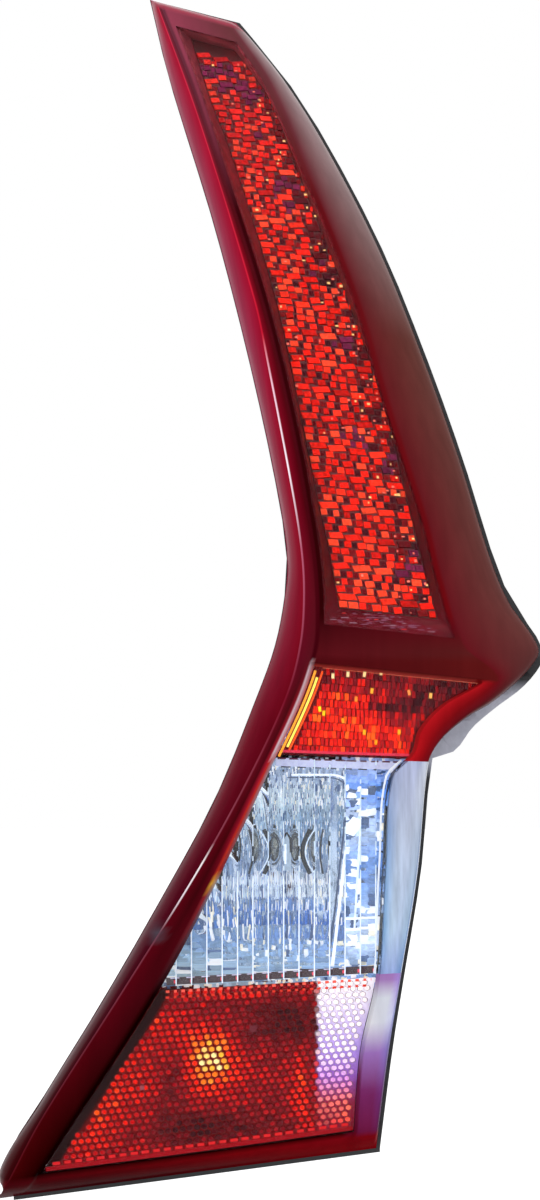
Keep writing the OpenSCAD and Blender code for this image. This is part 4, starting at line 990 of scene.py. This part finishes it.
# Facets of the reverse bowl, whose tones paint the reflections of its chrome, with white and cream glints and
# dark spots among them. Tones run left to right at each height, on the bowl and in the bay right of it
bowl = {"front": 47.5, "deep": 115, "focal": 20, "centre": (171, 204), "hole": 14, "size": (1.5, 3.2),
        "streak": (1.1, 8), "streakBelow": 196, "streakAbove": 150, "seed": 9, "bay": 206, "bayDepth": 19,
        "baySize": (2.6, 3.6), "overlap": 1.3, "level": 0.95, "levels": (0.7, 1.2), "proud": 0.8, "under": 4,
        "past": 2, "white": 0.1, "cream": (0.2, 0.13), "dark": 0.24, "creamBelow": 150,
        "whiteTone": "#ffffff", "creamTone": "#fff4d8", "darkTone": "#506890"}
bowlTones = [[128, "#a8c0c8", "#98b8d8"], [144, "#98b8d0", "#88a8d8"], [157, "#4878b8", "#4070c0"],
             [166, "#6088c8", "#6090d0"], [173, "#b8d0e8", "#f0f8ff"], [184, "#d0e0f0", "#f8f8ff"],
             [188, "#90a8c8"], [222, "#b8d0e0", "#88a8c8"], [236, "#f0f8f8", "#98b0c0"], [252, "#b0c0d8"]]
bayTones = [[131, "#80a8d8"], [152, "#d0e0f8"], [180, "#88a8d8"], [200, "#7098d8"],
            [223, "#f0f8ff", "#98b8e8"], [245, "#6098f0"], [255, "#a0b8e8"]]


def buildBowlFacets():
    chance = random.Random(bowl["seed"])
    facets = []
    centre = bowl["centre"]
    for bay in (False, True):
        z = rows["low"][0] - bowl["under"]
        while z < rows["mid"][0] - bowl["past"]:
            streaked = bowl["streakAbove"] < z < bowl["streakBelow"]
            wide, high = bowl["baySize" if bay else "streak" if streaked else "size"]
            left = bowl["bay"] if bay else along("stripIn", z) - bowl["past"]
            right = along("windowRight", z) + bowl["past"] if bay else bowl["bay"]
            x = left + wide / 2
            while x < right:
                radius = math.hypot(x - centre[0], z - centre[1])
                y = max(bowl["front"], bowl["deep"] - radius ** 2 / (4 * bowl["focal"])) - bowl["proud"]
                if bay:
                    y = faceAt(x, z) + bowl["bayDepth"]
                share = within((x - left) / (right - left))
                tone = stopsAt(bayTones if bay else bowlTones, z, lambda stop: across(stop[1:], share))
                level = chance.uniform(*bowl["levels"]) * bowl["level"]
                # some facets take a painted white or cream glint, and others a painted dark spot
                luck = chance.random()
                if luck < bowl["white"]:
                    tone, level = linear(bowl["whiteTone"]), 1
                elif luck < bowl["cream"][0 if z < bowl["creamBelow"] else 1]:
                    tone, level = linear(bowl["creamTone"]), 1
                elif luck < bowl["dark"]:
                    tone = linear(bowl["darkTone"])
                if radius > bowl["hole"] or bay:
                    box = (wide * bowl["overlap"], 0.5, high * bowl["overlap"])
                    facets.append([(x, y, z + chance.uniform(-0.5, 0.5) * high), box, (0, 0, 0),
                                   shade(tone, level)])
                x += wide
            z += high
    growFacets("reverse_bowl_facets", facets, "block", "facet", "reflector", 0.5, bowl["seed"])


buildBowlFacets()
for form in list(forms.values()):
    bpy.data.objects.remove(form)


# Steps of a path, length of one step of a broken line, and the bulb hole's foot with the rise of each step
pathSteps, dashStep = 40, 0.4
bulbHole = {"foot": 193, "rise": 2.7}


# Paths across a window and along an edge of the lamp
def rowPath(row, left, right):
    a, b = spot("stripIn", row, left), spot("windowRight", row, -right)
    return [mix(a, b, i / pathSteps) for i in range(pathSteps + 1)]


def linePath(name, aside, low, high):
    return [spot(name, mix(low, high, i / pathSteps), aside) for i in range(pathSteps + 1)]


def cornerPath(x, z, radius, x2, z2):
    turns = [math.radians(9 * i) for i in range(11)]
    bend = [(x + radius * (math.sin(a) - 1), z + radius * (math.cos(a) - 1)) for a in turns]
    return [(x - 34, z)] + bend + [(x2, z2)]


# A painted image of the bulb hole as each flute shows it
def crescent(x, bulge):
    return [(x + bulge * math.sin(math.radians(18 * i)), bulbHole["foot"] + bulbHole["rise"] * i)
            for i in range(11)]


# A line is a flat ribbon. Depth is how far it lies behind its window, and dash the lengths of dash and gap
def line(path, width, tone, depth=0, dash=None):
    return {"path": path, "width": width, "tone": tone, "depth": depth, "dash": dash}


# Thin lines that edge the windows, as painted highlights, painted reflections and dark edge lines, and a
# painted image of the bulb as it shows through the flutes
glints = {
    "lens_red": [
        line(linePath("stripIn", 4.2, rows["mid"], edge("crease", -5)), 1.5, "#ffb038"),
        line(linePath("stripIn", 6.6, edge("mid", 6), edge("crease", -9)), 1.5, "#fff068"),
        line(linePath("stripIn", 8.6, edge("mid", 4), edge("crease", -5)), 1.1, "#ff5a20"),
        line(rowPath(edge("crease", -3), 8, -1), 0.5, "#c05840"),
        line(rowPath(edge("mid", 3.4), 5, 0), 1.6, "#c03048"),
        line(rowPath(edge("mid", 1.6), 5, 0), 1.0, "#30040c", dash=(5, 3)),
        line(rowPath(edge("foot", 5), 6, 1), 2.0, "#c01c20", dash=(4.4, 2.4)),
        line(rowPath(edge("foot", 2.2), 4, 1), 2.6, "#8c0c16"),
        line(rowPath(edge("low", -3.4), 7, 2), 1.6, "#d85848", dash=(2, 2.6)),
        line(rowPath(edge("low", -7), 9, 2), 1.4, "#c83828", dash=(2, 2.6)),
        line([(149.6, 98.6), (153.8, 98.6)], 4, "#602830"),
        line([(83, 62.6), (85.6, 62.6)], 2.6, "#884850"),
    ],
    "lens_clear": [
        line(rowPath(edge("low", 2.6), 4, 0), 4.6, "#2c0a18"),
        line(rowPath(edge("low", 2.2), 8, 0), 1.9, "#e83a50", dash=(2.6, 6.7)),
        line(rowPath(edge("low", 4.4), 5, 20), 0.6, "#c8c0d8", dash=(6, 3.3)),
        line(rowPath(edge("mid", -3.4), 4, 0), 5, "#b8bcd8"),
        line(rowPath(edge("mid", -6.2), 8, 10), 0.8, "#343a4c", dash=(6, 3.3)),
        line(rowPath(edge("mid", -1.2), 4, 0), 1, "#50283c", dash=(5, 2)),
        line(cornerPath(209, 253, 9, 201, 136), 1.2, "#f4f8ff", 3),
        line(cornerPath(207.4, 251.4, 8.6, 199.4, 136), 0.8, "#40506c", 3),
        line(linePath("windowRight", -1.6, rows["low"], rows["mid"]), 1.2, "#f0f6ff"),
        line([(216, 236), (213, 158)], 0.9, "#e8f2ff", 3),
        line([(206, 165), (226, 166)], 1.4, "#ffffff", 3),
        line([(206, 158), (225, 160)], 1.6, "#ffffff", 3),
        line([(207, 149), (225, 151)], 1.8, "#f4f8ff", 3),
        line([(210, 217), (215, 226)], 6, "#f8fcff", 4),
        line(crescent(149, 2), 1.1, "#283038"),
        line(crescent(158, 4), 2.2, "#1c2228"),
        line(crescent(155.6, 5), 0.5, "#d8e4f0"),
        line([(172.6, 195), (172.6, 216)], 4.4, "#98a8b8"),
        line([(170.4, 206), (170.6, 214), (172.6, 218), (174.6, 214), (174.8, 206)], 1.5, "#1c2228"),
        line([(171.8, 199), (171.8, 211)], 1.2, "#f0f8ff"),
        line(crescent(186, -4), 2.2, "#1c2228"),
        line(crescent(188.4, -5), 0.5, "#d8e4f0"),
        line(crescent(194, -1.5), 1.0, "#283038"),
    ],
}


# Depth of the lines behind each lens, and how far each line lies before the one listed above it
glintDepth = {"lens_red": -0.5, "lens_clear": 3.2, "step": 0.02}


def dashed(path, dash):
    pieces, run, reach = [], [], 0.0
    for a, b in zip(path, path[1:]):
        length = math.dist(a, b)
        n = max(int(length / dashStep), 1)
        for i in range(n):
            on = reach % sum(dash) < dash[0]
            p = mix(a, b, i / n)
            if on:
                run.append(p)
            elif run:
                pieces.append(run + [p])
                run = []
            reach += length / n
    return pieces + ([run] if len(run) > 1 else [])


def buildGlints(slot):
    points, faces, tones = [], [], []
    for order, glint in enumerate(glints[slot]):
        base = glintDepth[slot] + glint["depth"] - glintDepth["step"] * order
        runs = dashed(glint["path"], glint["dash"]) if glint["dash"] else [glint["path"]]
        for run in runs:
            start = len(points)
            for i, (x, z) in enumerate(run):
                a, b = run[max(i - 1, 0)], run[min(i + 1, len(run) - 1)]
                length = max(math.dist(a, b), 0.001)
                half = glint["width"] / length / 2
                dx, dz = (a[1] - b[1]) * half, (b[0] - a[0]) * half
                for side in (-1, 1):
                    u, v = x + side * dx, z + side * dz
                    points.append((u, behindWindow(u, v, base), v))
                    tones.append(linear(glint["tone"]))
            for i in range(len(run) - 1):
                p = start + 2 * i
                faces.append([p, p + 2, p + 3, p + 1])
    mesh = meshOf(slot + "_glints", points, faces, ["glint"] * len(faces), ["glint"], tones=tones)
    place(slot + "_glints", mesh, slot)


for slot in glints:
    buildGlints(slot)
print("window edges made")

# The pieces whose CAD form is right, each group with its material and slot
dressed = [
    ("blackAbs", "housing", ["housing"]), ("bezel", "bezel", ["arm_bezel"]),
    ("chrome", "reflector", ["mid_reflector", "reverse_reflector", "lower_reflector"]),
    ("carrier", "carrier", ["bulb_carrier"]), ("blackNylon", "black_plastic", ["arm_socket"]),
    ("board", "board", ["led_board"]), ("led", "led", ["leds"]), ("chip", "black_parts", ["board_parts"]),
    ("zinc", "steel", ["board_screws", "reflector_screws"]), ("lead", "lead", ["board_leads"]),
    ("brass", "contact", ["arm_pins", "connector_pins", "conductor_tracks", "bulb_contacts"]),
    ("rubber", "seal", ["carrier_seal", "stud_seals"]), ("foam", "seal", ["perimeter_seal"]),
    ("rubber", "seal", ["breather_caps"]), ("thread", "stud", ["main_stud", "upper_stud", "lower_stud"]),
]
for bulb in ("mid_bulb_", "reverse_bulb_", "lower_bulb_"):
    dressed += [("glass", "bulb_glass", [bulb + "glass"]), ("nickel", "bulb_base", [bulb + "base"]),
                ("wire", "filament", [bulb + "filament"])]
for material, slot, names in dressed:
    for node in names:
        dress(node, material, slot)
print("dressed", sum(len(names) for _, _, names in dressed), "CAD nodes")

# A light is its place, size, power and colour, all in metres and watts
studio = {"cameraLamp": (162, -2600, 358.8), "lensLength": 130, "clipEnd": 50, "floorGap": 0.012,
          "floorSize": 9, "floorGlow": 0.62, "ambient": 0.95,
          "lights": {"key": ((-1.5, -1.8, 1.6), (1.2, 1.2), 15, "#ffffff"),
                     "fill": ((1.9, -1.4, 0.6), (0.9, 1.4), 8, "#e8e4ff"),
                     "back": ((0.6, 2.2, 1.6), (1.2, 1.2), 11, "#ffffff")}}


def buildCamera():
    data = bpy.data.cameras.new("Camera")
    data.lens = studio["lensLength"]
    data.clip_end = studio["clipEnd"]
    camera = newObject("Camera", data)
    camera.location = toFrame(studio["cameraLamp"])
    camera.rotation_euler = (math.radians(90), 0, 0)
    bpy.context.scene.camera = camera


# 1 for what the eye sees, also in metal and through glass, and 0 for what lights the lamp
def seenStraight(tree):
    path = addNode(tree, "LightPath")
    seen = path.outputs["Is Camera Ray"]
    for ray in ("Is Glossy Ray", "Is Transmission Ray"):
        seen = addNode(tree, "Math", operation="MAXIMUM", links={0: seen, 1: path.outputs[ray]})
    return seen


def buildFloor():
    material, tree = newMaterial("Pale studio floor")
    pale = addNode(tree, "BsdfDiffuse", values={"Color": "#c8c8c8"})
    glow = addNode(tree, "Emission", values={"Color": "#ffffff", "Strength": studio["floorGlow"]})
    both = addNode(tree, "AddShader", links={0: pale, 1: glow})
    shader = addNode(tree, "MixShader", links={"Fac": seenStraight(tree), 1: pale, 2: both})
    endMaterial(material, tree, shader)
    half = studio["floorSize"] / 2
    height = cadBox[0].z - studio["floorGap"]
    mesh = bpy.data.meshes.new("floor")
    corners = ((-half, -half), (half, -half), (half, half), (-half, half))
    mesh.from_pydata([(x, y, height) for x, y in corners], [], [[0, 1, 2, 3]])
    mesh.materials.append(material)
    newObject("floor", mesh)


def buildWorld():
    world = bpy.data.worlds.new("Soft white studio")
    bpy.context.scene.world = world
    world.use_nodes = True
    tree = world.node_tree
    tree.nodes.clear()
    strength = addNode(tree, "MapRange", values={"To Min": studio["ambient"], "To Max": 1},
                       links={"Value": seenStraight(tree)})
    sky = addNode(tree, "Background", values={"Color": "#ffffff"}, links={"Strength": strength})
    addNode(tree, "OutputWorld", links={"Surface": sky})


# The back light is kept out of the mirrors, where it would show as a hard white patch
def addLight(name, position, size, power, colour):
    data = bpy.data.lights.new(name, "AREA")
    data.shape = "RECTANGLE"
    data.size, data.size_y = size
    data.energy = power
    data.color = linear(colour)[:3]
    light = newObject(name, data)
    light.location = position
    light.visible_glossy = name != "back"
    light.rotation_euler = (-Vector(position)).to_track_quat("-Z", "Y").to_euler()


buildCamera()
buildFloor()
buildWorld()
for label, light in studio["lights"].items():
    addLight(label, *light)
bpy.context.scene.view_settings.view_transform = "Standard"
print("studio made")
